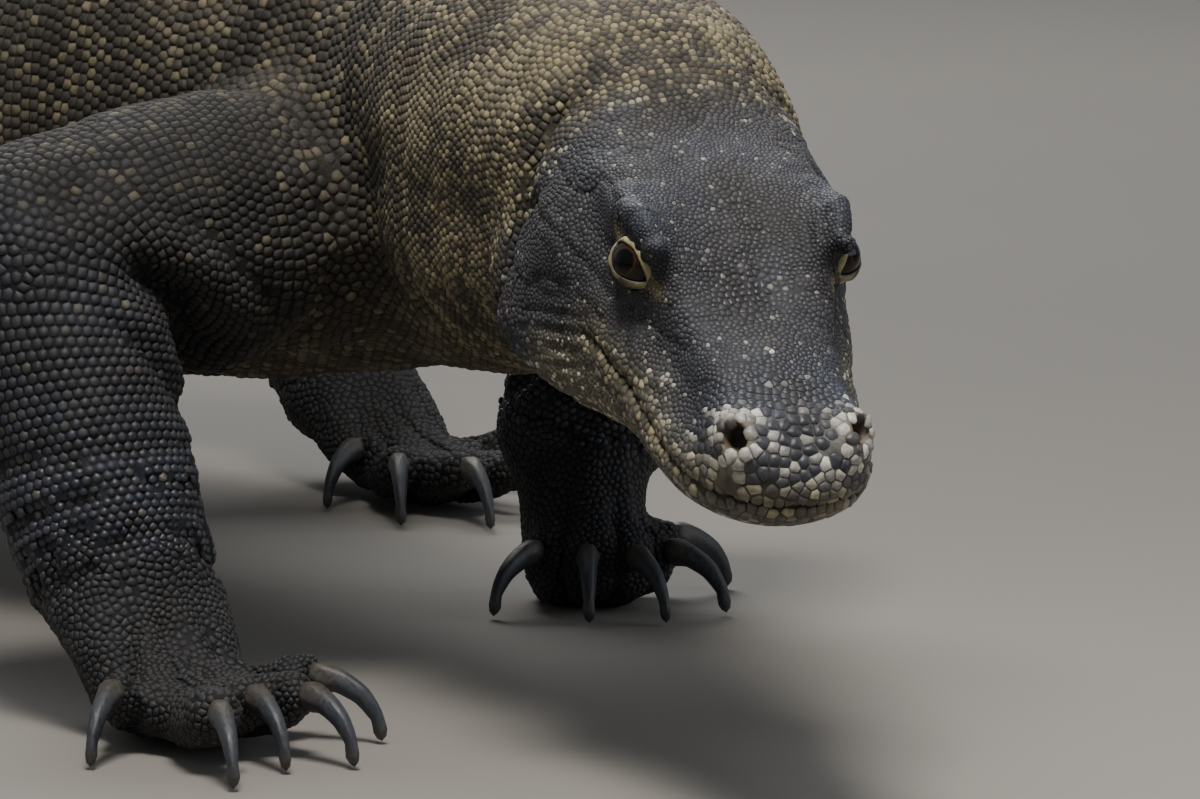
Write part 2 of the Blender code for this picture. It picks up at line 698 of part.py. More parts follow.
def finish(obj):
    """The part's own material: glossy eyes, smooth claws and dull hide."""
    colour, roughness = next((look for word, look in FINISHES.items() if word in obj.name), HIDE)
    material = bpy.data.materials.new(obj.name)
    material.use_nodes = True
    shader = material.node_tree.nodes["Principled BSDF"]
    shader.inputs["Base Color"].default_value = (*colour, 1)
    shader.inputs["Roughness"].default_value = roughness
    shader.inputs["Metallic"].default_value = 0.0
    obj.data.materials.append(material)
    obj.data.shade_smooth()


def stand_on_origin(parts):
    """Move every mesh so that the whole dragon's box stands centred on the origin."""
    points = np.array([v.co[:] for p in parts for v in p.data.vertices])
    low, high = points.min(axis=0), points.max(axis=0)
    shift = Vector((-(low[0] + high[0]) / 2, -(low[1] + high[1]) / 2, -low[2]))
    for part in parts:
        part.data.transform(Matrix.Translation(shift))
    print("moved by", tuple(round(c, 4) for c in shift), "size", tuple(round(c, 4) for c in high - low))


def build():
    clear_scene()
    flesh = fused_flesh()
    frame = head_frame()
    claws = {}
    toe_ends = []
    for leg in LEGS:
        foot = limb_names(leg)[-1]
        for digit, (_, _, end, tip) in enumerate(toe_points(LEGS[leg]), 1):
            claws[f"{foot}_claw_{digit}"] = claw(end, tip)
            toe_ends.append(toe_end_cutter(end, tip))
    below = block((-1, -1, -0.2), (1, 3, 0))
    cut_away(flesh, [below] + partings() + toe_ends)
    parts = name_parts(flesh)
    eyes = {}
    sockets = []
    for side, name in ((-1, "right_eye"), (1, "left_eye")):
        place = frame @ Vector((side * EYE_AT.x, EYE_AT.y, EYE_AT.z))
        eyes[name] = ellipsoid(place, (EYE_RADIUS,) * 3, EYE_SEGMENTS, EYE_RINGS)
        sockets.append(ellipsoid(place, (EYE_RADIUS + PIECE_GAP,) * 3, EYE_SEGMENTS, EYE_RINGS))
    cut_away(bpy.data.objects["head"], sockets)
    for name, mesh in (*claws.items(), *eyes.items()):
        parts.append(add_object(name, mesh))
    for part in parts:
        finish(part)
    stand_on_origin(parts)
    triangles = sum(len(p.vertices) - 2 for part in parts for p in part.data.polygons)
    print(len(parts), "parts,", triangles, "triangles")


build()
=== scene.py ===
# %% [markdown]
# # A life-size komodo dragon, dressed
#
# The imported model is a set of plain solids. This script measures against them and makes what the eye
# sees: one skin without seams, a coat of many thousand modelled scales, lids, wet eyes and horn claws.

import json
import math

import bpy
import numpy as np
from mathutils import Matrix, Vector
from mathutils.bvhtree import BVHTree
from mathutils.kdtree import KDTree

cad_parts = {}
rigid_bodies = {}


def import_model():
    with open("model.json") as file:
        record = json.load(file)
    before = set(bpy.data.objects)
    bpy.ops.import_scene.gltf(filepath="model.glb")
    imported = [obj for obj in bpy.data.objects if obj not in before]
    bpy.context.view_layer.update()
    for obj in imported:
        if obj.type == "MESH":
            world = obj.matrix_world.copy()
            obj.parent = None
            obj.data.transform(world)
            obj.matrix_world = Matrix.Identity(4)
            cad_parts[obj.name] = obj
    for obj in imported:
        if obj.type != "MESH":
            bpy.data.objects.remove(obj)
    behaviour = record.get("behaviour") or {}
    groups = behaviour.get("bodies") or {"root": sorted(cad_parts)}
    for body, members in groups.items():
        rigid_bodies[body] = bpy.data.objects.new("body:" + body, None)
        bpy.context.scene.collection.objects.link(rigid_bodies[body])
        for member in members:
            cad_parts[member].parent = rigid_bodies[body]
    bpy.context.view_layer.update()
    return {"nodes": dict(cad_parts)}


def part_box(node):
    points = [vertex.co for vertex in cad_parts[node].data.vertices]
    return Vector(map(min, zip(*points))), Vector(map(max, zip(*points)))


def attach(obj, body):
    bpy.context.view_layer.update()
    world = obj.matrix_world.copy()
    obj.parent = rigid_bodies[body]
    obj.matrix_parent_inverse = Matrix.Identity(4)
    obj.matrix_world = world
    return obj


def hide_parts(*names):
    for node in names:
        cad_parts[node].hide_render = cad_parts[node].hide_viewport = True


for stray in list(bpy.data.objects):
    bpy.data.objects.remove(stray)
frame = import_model()

MM = 0.001
SIDES = ("right", "left")
LIMBS = {"hand": ("upper_arm", "forearm", "hand"), "foot": ("thigh", "shank", "foot")}
DIGITS = range(1, 6)
TRUNK_NODES = ["neck", "chest", "belly", "pelvis", "tail_1", "tail_2", "tail_3", "tail_4"]
LIMB_NODES = [f"{side}_{part}" for side in SIDES for end in LIMBS for part in LIMBS[end]]
HEAD_NODES = ["head", "lower_jaw"]
FLESH = HEAD_NODES + TRUNK_NODES + LIMB_NODES
NUMBER = {name: i for i, name in enumerate(FLESH)}

# %% [markdown]
# Shapes are worked out with numpy on whole arrays of points at once. The noise is a smooth random
# field, which breaks up anything too even.

# %% Helpers for arrays of points
def fade(low, high, value):
    """0 at the low limit, 1 at the high one, and a soft slope in between."""
    t = np.clip((value - low) / (high - low), 0, 1)
    return t * t * (3 - 2 * t)


def bell(value, width):
    """1 at zero, falling off on both sides."""
    return np.exp(-((value / width) ** 2))


def length(rows):
    return np.linalg.norm(rows, axis=-1)


def unit(rows):
    rows = np.asarray(rows, float)
    return rows / np.maximum(length(rows)[..., None], 1e-12)


def lattice(cells, seed):
    """A fixed random number from 0 to 1 for each whole-numbered cell."""
    mixed = cells @ np.array([374761393, 668265263, 2147483647]) + seed * 974634777
    mixed = (mixed ^ (mixed >> 13)) * 1274126177
    return ((mixed ^ (mixed >> 16)) & 0xFFFFFF) / float(0xFFFFFF)


def noise(points, size, seed=0):
    """Smooth noise from -1 to 1 whose lumps are about that size, in metres."""
    scaled = np.asarray(points) / size + 1000.0
    cell = np.floor(scaled).astype(np.int64)
    t = fade(0, 1, scaled - cell)
    total = 0
    for corner in np.ndindex(2, 2, 2):
        weight = np.prod(np.where(np.array(corner) == 1, t, 1 - t), axis=-1)
        total = total + weight * lattice(cell + np.array(corner), seed)
    return 2 * total - 1


def read_rows(items, value):
    rows = np.empty(len(items) * 3, np.float32)
    items.foreach_get(value, rows)
    return rows.reshape(-1, 3).astype(float)


def points_of(mesh):
    return read_rows(mesh.vertices, "co")


def normals_of(mesh):
    return read_rows(mesh.vertex_normals, "vector")


def solid_points(node):
    return points_of(frame["nodes"][node].data)


def set_points(mesh, points):
    mesh.vertices.foreach_set("co", np.asarray(points, np.float32).ravel())
    mesh.update()


def tree_of(points):
    tree = KDTree(len(points))
    for i, p in enumerate(points.tolist()):
        tree.insert(p, i)
    tree.balance()
    return tree


def nearest_of(tree, points, number):
    """For each point, the numbers of the nearest entries of the tree and how far away they are."""
    found = [tree.find_n(p, number) for p in points.tolist()]
    return tuple(np.array([[hit[k] for hit in row] for row in found]) for k in (1, 2))


print("noise at two points:", noise(np.array([[0, 0, 0], [0.01, 0, 0]]), 0.02))

# %% [markdown]
# Lids, nostrils and lips are placed against the skull, in a frame that the two eye solids give: X is
# left, Y runs back and Z is up, with the origin at the front of the lips.

# %% The head's own frame
HEAD_DIP = math.radians(27)
EYES_BACK, EYES_UP, EYE_RADIUS = 97.5 * MM, 32.5 * MM, 9.4 * MM
eye_middle = {side: sum(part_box(f"{side}_eye"), Vector()) / 2 for side in SIDES}
head_left = (eye_middle["left"] - eye_middle["right"]).normalized()
EYES_APART = (eye_middle["left"] - eye_middle["right"]).length / 2
head_turn = Matrix.Rotation(math.atan2(head_left.y, head_left.x), 4, "Z") @ Matrix.Rotation(HEAD_DIP, 4, "X")
between_eyes = (eye_middle["left"] + eye_middle["right"]) / 2
head_place = Matrix.Translation(between_eyes) @ head_turn @ Matrix.Translation((0, -EYES_BACK, -EYES_UP))
HEAD_AXES = np.array(head_place.to_3x3())
HEAD_ORIGIN = np.array(head_place.translation)


def to_head(points):
    return (np.asarray(points) - HEAD_ORIGIN) @ HEAD_AXES


def from_head(points):
    return np.asarray(points) @ HEAD_AXES.T + HEAD_ORIGIN


def folded_head(points):
    """Points in the head's frame, with those of the right side mirrored to the left."""
    head = to_head(points)
    head[:, 0] = np.abs(head[:, 0])
    return head


print("lips at", HEAD_ORIGIN.round(4), "eyes apart", round(2 * EYES_APART, 4))

# %% [markdown]
# The camera stands low in front of the dragon and looks down a little through a long lens. It is
# placed against the eyes, so it follows the head if the solids change.

# %% Camera
CAMERA_FROM_EYES = Vector((-1.510, -2.526, 0.341))
CAMERA_HEADING, CAMERA_DIP = math.radians(30), math.atan(1184.5 / 9000)
camera_data = bpy.data.cameras.new("camera")
camera_data.sensor_width, camera_data.lens = 36, 270
camera_data.clip_start, camera_data.clip_end = 0.1, 50
camera = bpy.data.objects.new("camera", camera_data)
bpy.context.scene.collection.objects.link(camera)
camera.location = between_eyes + CAMERA_FROM_EYES
camera.rotation_euler = (math.pi / 2 - CAMERA_DIP, 0, -CAMERA_HEADING)
bpy.context.scene.camera = camera
print("camera at", tuple(round(c, 3) for c in camera.location))

# %% [markdown]
# Every finish is a small tree of shader nodes. Paint colours are written as sRGB hex, and a shader
# works with linear values.

# %% Helpers for materials
def linear(hex_colour):
    values = [int(hex_colour[i : i + 2], 16) / 255 for i in (1, 3, 5)]
    return tuple(v / 12.92 if v <= 0.04045 else ((v + 0.055) / 1.055) ** 2.4 for v in values)


def add_node(tree, kind, settings=None, **inputs):
    """A shader node of that kind. An input, named or numbered _0, _1, is a value or a socket."""
    node = tree.nodes.new("ShaderNode" + kind)
    for name, value in (settings or {}).items():
        setattr(node, name, value)
    for name, value in inputs.items():
        socket = node.inputs[int(name[1:]) if name[1:].isdigit() else name.replace("_", " ")]
        if isinstance(value, bpy.types.NodeSocket):
            tree.links.new(value, socket)
        else:
            socket.default_value = value
    return node


def new_material(name, **inputs):
    """A material with one Principled shader, its node tree, and the object's own coordinates."""
    material = bpy.data.materials.new(name)
    material.use_nodes = True
    tree = material.node_tree
    shader = tree.nodes["Principled BSDF"]
    for socket, value in inputs.items():
        shader.inputs[socket.replace("_", " ")].default_value = value
    return material, tree, shader, add_node(tree, "TexCoord").outputs["Object"]


def noise_node(tree, place, size, detail, **inputs):
    """Cloudy noise from 0 to 1 with lumps of that size in metres."""
    node = add_node(tree, "TexNoise", Vector=place, Scale=1 / size, Detail=detail, **inputs)
    return node.outputs["Fac"]


def stored(tree, name):
    return add_node(tree, "Attribute", {"attribute_name": name})


def mapped(tree, value, *limits):
    """The value moved from its two limits to two others, and kept between them."""
    node = add_node(tree, "MapRange", Value=value, **{f"_{k}": limit for k, limit in enumerate(limits, 1)})
    return node.outputs["Result"]


def calculated(tree, operation, *values, kind="Math", output="Value", **inputs):
    inputs.update({f"_{k}": value for k, value in enumerate(values)})
    return add_node(tree, kind, {"operation": operation}, **inputs).outputs[output]


def scaled_colour(tree, colour, amount):
    return calculated(tree, "SCALE", colour, kind="VectorMath", output="Vector", Scale=amount)


def blended(tree, amount, one, other):
    node = add_node(tree, "Mix", {"data_type": "RGBA"}, Factor=amount, _6=one, _7=other)
    return node.outputs[2]


def colour_stops(tree, value, stops):
    node = add_node(tree, "ValToRGB", Fac=value)
    elements = node.color_ramp.elements
    while len(elements) < len(stops):
        elements.new(0.5)
    for element, (at, colour) in zip(elements, stops):
        element.position, element.color = at, (*linear(colour), 1)
    return node.outputs["Color"]


def raise_bumps(tree, shader, height, distance, strength, sunk=False):
    bump = add_node(tree, "Bump", {"invert": sunk}, Height=height, Distance=distance, Strength=strength)
    tree.links.new(bump.outputs["Normal"], shader.inputs["Normal"])


# %% [markdown]
# The stage is a pale floor with a key light above and to the left, a wide weaker one from the right,
# one from behind to draw the outline, and a dim even sky.

# %% Floor and lights
FLOOR_SIZE, FLOOR_DROP = 16, 0.4 * MM
bpy.ops.mesh.primitive_plane_add(size=FLOOR_SIZE, location=(0, 0, -FLOOR_DROP))
floor = bpy.context.object
floor.name = "floor"
floor_paint, tree, shader, place = new_material("matt pale floor paint", Roughness=0.9)
cloud = noise_node(tree, place, 1 / 1.5, 2.0)
paint = blended(tree, cloud, (*linear("#8a8680"), 1), (*linear("#969189"), 1))
tree.links.new(paint, shader.inputs["Base Color"])
floor.data.materials.append(floor_paint)


def area_light(name, place, target, size, watts, colour, spread=180):
    data = bpy.data.lights.new(name, "AREA")
    data.size, data.spread, data.energy, data.color = size, math.radians(spread), watts, linear(colour)
    light = bpy.data.objects.new(name, data)
    light.location = place
    light.rotation_euler = (Vector(target) - Vector(place)).to_track_quat("-Z", "Y").to_euler()
    bpy.context.scene.collection.objects.link(light)


area_light("key", (-0.45, -1.5, 1.7), between_eyes, 0.55, 4.2, "#fffaf4", 62)
area_light("fill", (2.4, -2.6, 1.4), between_eyes, 2.2, 18, "#eef3ff")
area_light("rim", (0.6, 1.5, 2.3), (0, 0, 0.15), 1.6, 60, "#ffffff")
world = bpy.data.worlds.new("studio")
bpy.context.scene.world = world
world.use_nodes = True
sky = world.node_tree.nodes["Background"].inputs
sky["Color"].default_value, sky["Strength"].default_value = (*linear("#dfe4ea"), 1), 0.30

# %% [markdown]
# ## The skin
#
# A voxel remesh makes the skin as a mould would: it wraps one closed surface round copies of all the
# solids of flesh. The eyes are laid in a little enlarged, so that there is flesh for the lids.

# %% One closed surface round the flesh
SKIN_VOXEL = 5.6 * MM
EYE_ROOM = 1.03
LID_DEPTH = 0.9 * MM
OPENING_DEPTH = 0.62


def copy_of(node, name):
    """A copy of a solid, to build a new piece from."""
    copy = frame["nodes"][node].copy()
    copy.data = copy.data.copy()
    copy.name = name
    for key in list(copy.keys()):
        del copy[key]
    copy.parent = None
    copy.data.materials.clear()
    bpy.context.scene.collection.objects.link(copy)
    return copy


def work_on(*objects):
    """Select these objects and nothing else, and make the first one active."""
    bpy.ops.object.select_all(action="DESELECT")
    for obj in objects:
        obj.select_set(True)
    bpy.context.view_layer.objects.active = objects[0]


def edit_all(step, **settings):
    """One step of modelling on the whole mesh of the active object."""
    bpy.ops.object.mode_set(mode="EDIT")
    bpy.ops.mesh.select_all(action="SELECT")
    step(**settings)
    bpy.ops.object.mode_set(mode="OBJECT")


pieces = [copy_of(node, "flesh") for node in FLESH]
for side in SIDES:
    ball = copy_of(f"{side}_eye", "eye room")
    room = Matrix.Translation(eye_middle[side]) @ Matrix.Scale(EYE_ROOM, 4)
    ball.data.transform(room @ Matrix.Translation(-eye_middle[side]))
    pieces.append(ball)
work_on(*pieces)
bpy.ops.object.join()
skin = bpy.context.object
skin.name = "hide"
edit_all(bpy.ops.mesh.remove_doubles, threshold=1e-5)
wrap = skin.modifiers.new("wrap", "REMESH")
wrap.mode, wrap.voxel_size = "VOXEL", SKIN_VOXEL
bpy.ops.object.modifier_apply(modifier="wrap")
print("skin:", len(skin.data.vertices), "points,", len(skin.data.polygons), "faces")

# %% [markdown]
# A plain smooth would shrink the toes, so each round is followed by a slightly stronger push the
# other way (Taubin's method). The regions that colours and scales need get soft borders in the same
# way. Then head, hands and feet are divided, because the small forms are there.

# %% Smooth, then divide where the small forms are
BORDER_ROUNDS = 22
REGIONS = ["head", *TRUNK_NODES, *LIMBS["hand"], *LIMBS["foot"]]
FINE_NODES = [n for n in FLESH if n in HEAD_NODES or n.endswith(("hand", "foot"))]
corners, faces, face_owner = [], [], []
for number, name in enumerate(FLESH):
    data = frame["nodes"][name].data
    faces += [[i + len(corners) for i in p.vertices] for p in data.polygons]
    corners += [v.co[:] for v in data.vertices]
    face_owner += [number] * len(data.polygons)
solid_tree = BVHTree.FromPolygons(corners, faces)


def owner_of(points):
    """The number, in FLESH, of the solid that each point is nearest to."""
    return np.array([face_owner[solid_tree.find_nearest(p)[2]] for p in points.tolist()])


def is_in(owners, *names):
    return np.isin(owners, [NUMBER[n] for n in names])


def limb_nodes(side, end):
    return [f"{side}_{part}" for part in LIMBS[end]]


def evened(mesh, points, rounds, gain=0.55, loss=-0.57):
    """The points, or other rows of values, after rounds of smoothing. The two amounts keep the size."""
    edges = np.empty(len(mesh.edges) * 2, np.int32)
    mesh.edges.foreach_get("vertices", edges)
    a, b = edges.reshape(-1, 2).T
    both = np.r_[a, b]
    count = np.maximum(np.bincount(both, minlength=len(points)), 1)[:, None]
    for amount in (gain, loss) * rounds:
        total = [np.bincount(both, np.r_[column[b], column[a]], len(points)) for column in points.T]
        points = points + (np.stack(total, axis=1) / count - points) * amount
    return points


def region_of(node):
    part = node.removeprefix("right_").removeprefix("left_")
    return REGIONS.index("head" if part == "lower_jaw" else part)


mesh = skin.data
set_points(mesh, evened(mesh, points_of(mesh), 9))
belongs = np.eye(len(REGIONS))[np.array([region_of(n) for n in FLESH])[owner_of(points_of(mesh))]]
belongs = evened(mesh, belongs, BORDER_ROUNDS, gain=0.5, loss=0.5)
belongs_tree = tree_of(points_of(mesh))


def soft_regions(points):
    """How much of each region every point belongs to, with soft borders of a few centimetres."""
    return belongs[[belongs_tree.find(p)[1] for p in points.tolist()]]


def by_region(regions, table, column):
    return regions @ np.array([table[name][column] for name in REGIONS])


for names in (FINE_NODES, HEAD_NODES):
    wanted = is_in(owner_of(read_rows(mesh.polygons, "center")), *names)
    work_on(skin)
    bpy.ops.object.mode_set(mode="EDIT")
    bpy.ops.mesh.select_mode(type="FACE")
    bpy.ops.mesh.select_all(action="DESELECT")
    bpy.ops.object.mode_set(mode="OBJECT")
    mesh.polygons.foreach_set("select", wanted.tolist())
    bpy.ops.object.mode_set(mode="EDIT")
    bpy.ops.mesh.subdivide(number_cuts=1, smoothness=0.6)
    bpy.ops.object.mode_set(mode="OBJECT")
    set_points(mesh, evened(mesh, points_of(mesh), 2))
print("divided skin:", len(mesh.vertices), "points,", len(mesh.polygons), "faces")

# %% [markdown]
# Where two solids meet, the body bends or folds. The points along such a parting give a middle, a
# plane and a reach, and the middles make the lines along body and limbs, which the scales follow.

# %% Partings, and the lines along the body and the limbs
NEAR = 3.5 * MM
LINE_STEP = 4 * MM


def parting(a, b):
    """Middle, normal from a to b, and radius of the parting between two solids."""
    ring_a, ring_b = solid_points(a), solid_points(b)
    ring = ring_a[nearest_of(tree_of(ring_b), ring_a, 1)[1][:, 0] < NEAR]
    middle = ring.mean(axis=0)
    normal = np.linalg.svd(ring - middle)[2][2]
    if (ring_b.mean(axis=0) - ring_a.mean(axis=0)) @ normal < 0:
        normal = -normal
    return middle, normal, float(length(ring - middle).max())


def smooth_line(knots):
    """A Catmull-Rom curve through the knots: its points, tangents and lengths along it."""
    knots = np.asarray(knots, float)
    ends = np.vstack([2 * knots[0] - knots[1], knots, 2 * knots[-1] - knots[-2]])
    rows = []
    for a, b, c, d in zip(ends, ends[1:], ends[2:], ends[3:]):
        for t in np.linspace(0, 1, max(2, int(np.linalg.norm(c - b) / LINE_STEP)), endpoint=False):
            bend = (2 * a - 5 * b + 4 * c - d) * t**2 + (3 * b - 3 * c + d - a) * t**3
            rows.append(0.5 * (2 * b + (c - a) * t + bend))
    rows = np.array(rows + [knots[-1]])
    lengths = np.r_[0, np.cumsum(length(np.diff(rows, axis=0)))]
    return rows, unit(np.gradient(rows, axis=0)), lengths


def nearest_on(line, place):
    """How far along the line its nearest point to a place is."""
    rows, _, lengths = line
    return float(lengths[length(rows - place).argmin()])


trunk_chain = ["head"] + TRUNK_NODES
trunk_partings = {pair: parting(*pair) for pair in zip(trunk_chain, trunk_chain[1:])}
tail_points = solid_points("tail_4")
tail_tip = tail_points[tail_points[:, 1].argmax()]
snout_inside = from_head([[0, 10 * MM, 4 * MM], [0, 90 * MM, 8 * MM]])
spine = smooth_line([*snout_inside, *[p[0] for p in trunk_partings.values()], tail_tip])
neck_start = nearest_on(spine, trunk_partings["head", "neck"][0])
neck_stop = nearest_on(spine, trunk_partings["neck", "chest"][0])
limb_lines, limb_partings, toe_lines = {}, {}, {}
for side in SIDES:
    for end in LIMBS:
        names = limb_nodes(side, end)
        cuts = [parting(a, b) for a, b in zip(["chest" if end == "hand" else "pelvis"] + names, names)]
        limb_partings[side, end] = cuts
        limb_lines[side, end] = smooth_line([c[0] for c in cuts] + [solid_points(names[-1]).mean(axis=0)])
        wrist = cuts[2][0]
        for digit in DIGITS:
            claw = solid_points(f"{side}_{end}_claw_{digit}")
            root = claw[np.argsort(length(claw[:, :2] - wrist[:2]))[:8]].mean(axis=0)
            start = wrist * [1, 1, 0] + [0, 0, root[2]] + 0.25 * (root - wrist) * [1, 1, 0]
            toe_lines[side, end, digit] = start, root
print("spine", round(spine[2][-1], 3), "m, radii", [round(p[2], 3) for p in trunk_partings.values()])

# %% [markdown]
# ## The forms of the head
#
# The skull's solid has the right outline, and the skin adds what makes it a face. Each form is a
# smooth push of the skin's points in the head's frame, with both sides worked at once.

# %% Lids, nostrils, lips, ears
COAT_DEPTH = 0.7 * MM
HEAD_ENDS_BACK = 205 * MM
GAZE = unit([0.80, -0.42, 0.42])
EYE = np.array([EYES_APART, EYES_BACK, EYES_UP])
SLIT_ALONG = np.array([0.34, 0.90, 0.26])
SLIT_ALONG = unit(SLIT_ALONG - GAZE * (SLIT_ALONG @ GAZE))
SLIT_ACROSS = np.cross(GAZE, SLIT_ALONG) * np.sign(np.cross(GAZE, SLIT_ALONG)[2])
SLIT_HALF_LENGTH, SLIT_HALF_HEIGHT = math.radians(65), math.radians(32)
SLIT_POINTEDNESS = 1.45
NOSTRIL = np.array([20.8, 15.5, 18.5]) * MM
NOSTRIL_OUT = unit([0.60, -0.62, 0.50])
NOSTRIL_HOLE = (4.3 * MM, 5.6 * MM)
EAR = np.array([46.0, 163.0, 12.0]) * MM
MOUTH_CORNER_BACK = 108 * MM
LIP_KNOTS_BACK = np.array([0, 2.5, 10, 20, 40, 60, 80, 95, 110, 130]) * MM
LIP_KNOTS_UP = np.array([0, -0.5, -1.5, -3.0, -4.5, -3.0, -1.0, 0, -1.0, -4.0]) * MM
# Swellings and hollows: two ends of a line on the head's left side, reach and height, in millimetres.
HEAD_FORMS = {
    "brow ridge": ((31, 84, 47), (37, 118, 53), 6.5, 4.2),
    "brow's front": ((26, 60, 36), (31, 84, 47), 5.0, 2.2),
    "hollow between the brows": ((4, 74, 38), (6, 104, 48), 13.0, -3.2),
    "ridge from brow to nostril": ((21, 32, 26), (26, 60, 36), 4.6, 2.4),
    "hollow before the eye": ((32, 46, 14), (37, 80, 20), 8.0, -3.6),
    "hollow behind the eye": ((42, 116, 30), (44, 134, 34), 8.0, -3.0),
    "cheek under the eye": ((42, 84, 10), (45, 108, 10), 8.0, 1.6),
    "jaw muscle": ((47, 140, 14), (50, 148, -16), 16.0, 3.6),
    "swollen nose": ((20, 14, 16), (22, 26, 18), 10.0, 1.2),
    "snout's middle": ((0, 6, 12), (0, 30, 24), 6.0, -0.8),
}
# Creases round the lids: angle from the gaze and width in degrees, depth in millimetres.
LID_CREASES = ((74, 6, 1.5), (92, 5, 0.7), (108, 5, 0.5))


def lip_height(back):
    return np.interp(back, LIP_KNOTS_BACK, LIP_KNOTS_UP)


def slit_edge(turn, half_length=SLIT_HALF_LENGTH, half_height=SLIT_HALF_HEIGHT):
    """How far the lids' edge is from the gaze, as an angle at the eye's middle, for a turn round it."""
    along, across = np.abs(np.cos(turn)) / half_length, np.abs(np.sin(turn)) / half_height
    return (along**SLIT_POINTEDNESS + across**SLIT_POINTEDNESS) ** (-1 / SLIT_POINTEDNESS)


def round_eye(mirrored):
    """Arm and distance from the eye's middle, angle from the gaze and turn round it."""
    arm = mirrored - EYE
    distance = length(arm)
    angle = np.arccos(np.clip(arm @ GAZE / distance, -1, 1))
    return arm, distance, angle, np.arctan2(arm @ SLIT_ACROSS, arm @ SLIT_ALONG)


def from_segment(points, start, end):
    """Distance of each point from the segment between two places."""
    start, end = np.asarray(start, float), np.asarray(end, float)
    share = np.clip((points - start) @ (end - start) / ((end - start) @ (end - start)), 0, 1)
    return length(points - (start + share[:, None] * (end - start)))


def shape_head(points, normals):
    """Push the head's points, given and returned in the head's frame."""
    flip = np.where(points[:, :1] < 0, -1.0, 1.0) * [1, 0, 0] + [0, 1, 1]
    p, n = points * flip, normals * flip

    def swell(amount):
        """Move the points along their normals, by an amount in millimetres."""
        nonlocal p
        p = p + n * (amount * MM)[:, None]

    for start, end, reach, height in HEAD_FORMS.values():
        swell(height * bell(from_segment(p / MM, start, end), reach))
    # the mound of the lids lies on the eyeball, and the opening sinks behind its front
    arm, distance, angle, turn = round_eye(p)
    beyond = angle - slit_edge(turn)
    mound = 1 - fade(math.radians(58), math.radians(88), angle)
    mound *= 1 - fade(13 * MM, 20 * MM, distance)
    wrinkles = 0.35 * MM * np.cos(beyond / math.radians(8) * math.pi) * fade(0.20, 0.40, beyond)
    lid = EYE_RADIUS + LID_DEPTH + wrinkles
    goal = lid + (OPENING_DEPTH * EYE_RADIUS - lid) * (1 - fade(-0.12, 0.06, beyond))
    goal_length = distance + (goal - distance) * mound
    p = EYE + arm * (goal_length / np.maximum(distance, 1e-6))[:, None]
    near = 1 - fade(14 * MM, 22 * MM, distance)
    for ring, width, depth in LID_CREASES:
        off_ring = angle - math.radians(ring) - 0.12 * noise(p, 8 * MM, 7)
        swell(-depth * bell(off_ring, math.radians(width)) * near)
    # nostrils
    arm = p - NOSTRIL
    across = unit(np.cross(NOSTRIL_OUT, unit([0.2, 0.75, 0.65])))
    up = np.cross(across, NOSTRIL_OUT)
    spread = np.sqrt((arm @ across / NOSTRIL_HOLE[0]) ** 2 + (arm @ up / NOSTRIL_HOLE[1]) ** 2)
    rim = 1.2 * MM * bell(spread - 1.38, 0.32) - 8.5 * MM * (1 - fade(0.55, 1.0, spread))
    p = p + NOSTRIL_OUT * (rim * (np.abs(arm @ NOSTRIL_OUT) < 12 * MM))[:, None]
    # the slit of the mouth, and the lips that swell on both sides of it
    above = p[:, 2] - lip_height(p[:, 1])
    in_mouth = 1 - fade(MOUTH_CORNER_BACK - 6 * MM, MOUTH_CORNER_BACK + 3 * MM, p[:, 1])
    swell((0.7 * bell(np.abs(above) - 4 * MM, 2.4 * MM) - 2.2 * bell(above, 1.3 * MM)) * in_mouth)
    # folds of loose skin behind the mouth's corner
    phase = (p[:, 2] + 0.55 * (p[:, 1] - MOUTH_CORNER_BACK)) / (6.5 * MM) * 2 * math.pi
    corner = bell(p[:, 1] - 119 * MM, 15 * MM) * bell(p[:, 2] + 9 * MM, 13 * MM) * (p[:, 0] > 20 * MM)
    swell(0.9 * np.sin(phase + 1.2 * noise(p, 14 * MM, 3)) * corner)
    # the deep fold between the jaw muscle and the neck
    back = p[:, 1] - 0.30 * np.maximum(p[:, 2], -20 * MM) - 170 * MM + 3 * MM * noise(p, 30 * MM, 4)
    fold = bell(back, 3.6 * MM) * fade(15 * MM, 32 * MM, p[:, 0])
    swell(-7.5 * fold * (1 - fade(34 * MM, 50 * MM, p[:, 2])))
    # fine creases where a slow noise crosses zero, most on the sides of the head
    lines = bell(noise(p * [1, 0.7, 1.2], 15 * MM, 8), 0.10)
    lines += 0.6 * bell(noise(p * [1.2, 1, 0.8], 8 * MM, 9), 0.12)
    swell(-0.95 * lines * fade(40 * MM, 70 * MM, p[:, 1]) * (0.35 + 0.65 * (p[:, 0] > 24 * MM)))
    # the ear
    hole = np.sqrt(((p[:, 1] - EAR[1]) / (4.2 * MM)) ** 2 + ((p[:, 2] - EAR[2]) / (8 * MM)) ** 2)
    swell(-4.0 * (1 - fade(0.4, 1.1, hole)) * (p[:, 0] > 20 * MM))
    # soft lumps, so that no broad face of the skull stays even
    swell(0.5 * noise(p, 13 * MM, 5) + 0.25 * noise(p, 6 * MM, 6))
    return p * flip


points, normals = points_of(mesh), normals_of(mesh)
points -= normals * COAT_DEPTH
owners = owner_of(points)
neck_front = is_in(owners, "neck") & (to_head(points)[:, 1] < HEAD_ENDS_BACK)
shaped = is_in(owners, *HEAD_NODES) | neck_front
points[shaped] = from_head(shape_head(to_head(points[shaped]), normals[shaped] @ HEAD_AXES))
set_points(mesh, points)
print("points of the head:", int(shaped.sum()))

# %% [markdown]
# The body's skin is loose. It folds in rings on the neck, elbows and knees have deep creases on the inner
# side of the bend, and wrists and ankles have bands of folds round them. Noise makes every fold wander.

# %% Folds of the body
BAND = 6.4 * MM
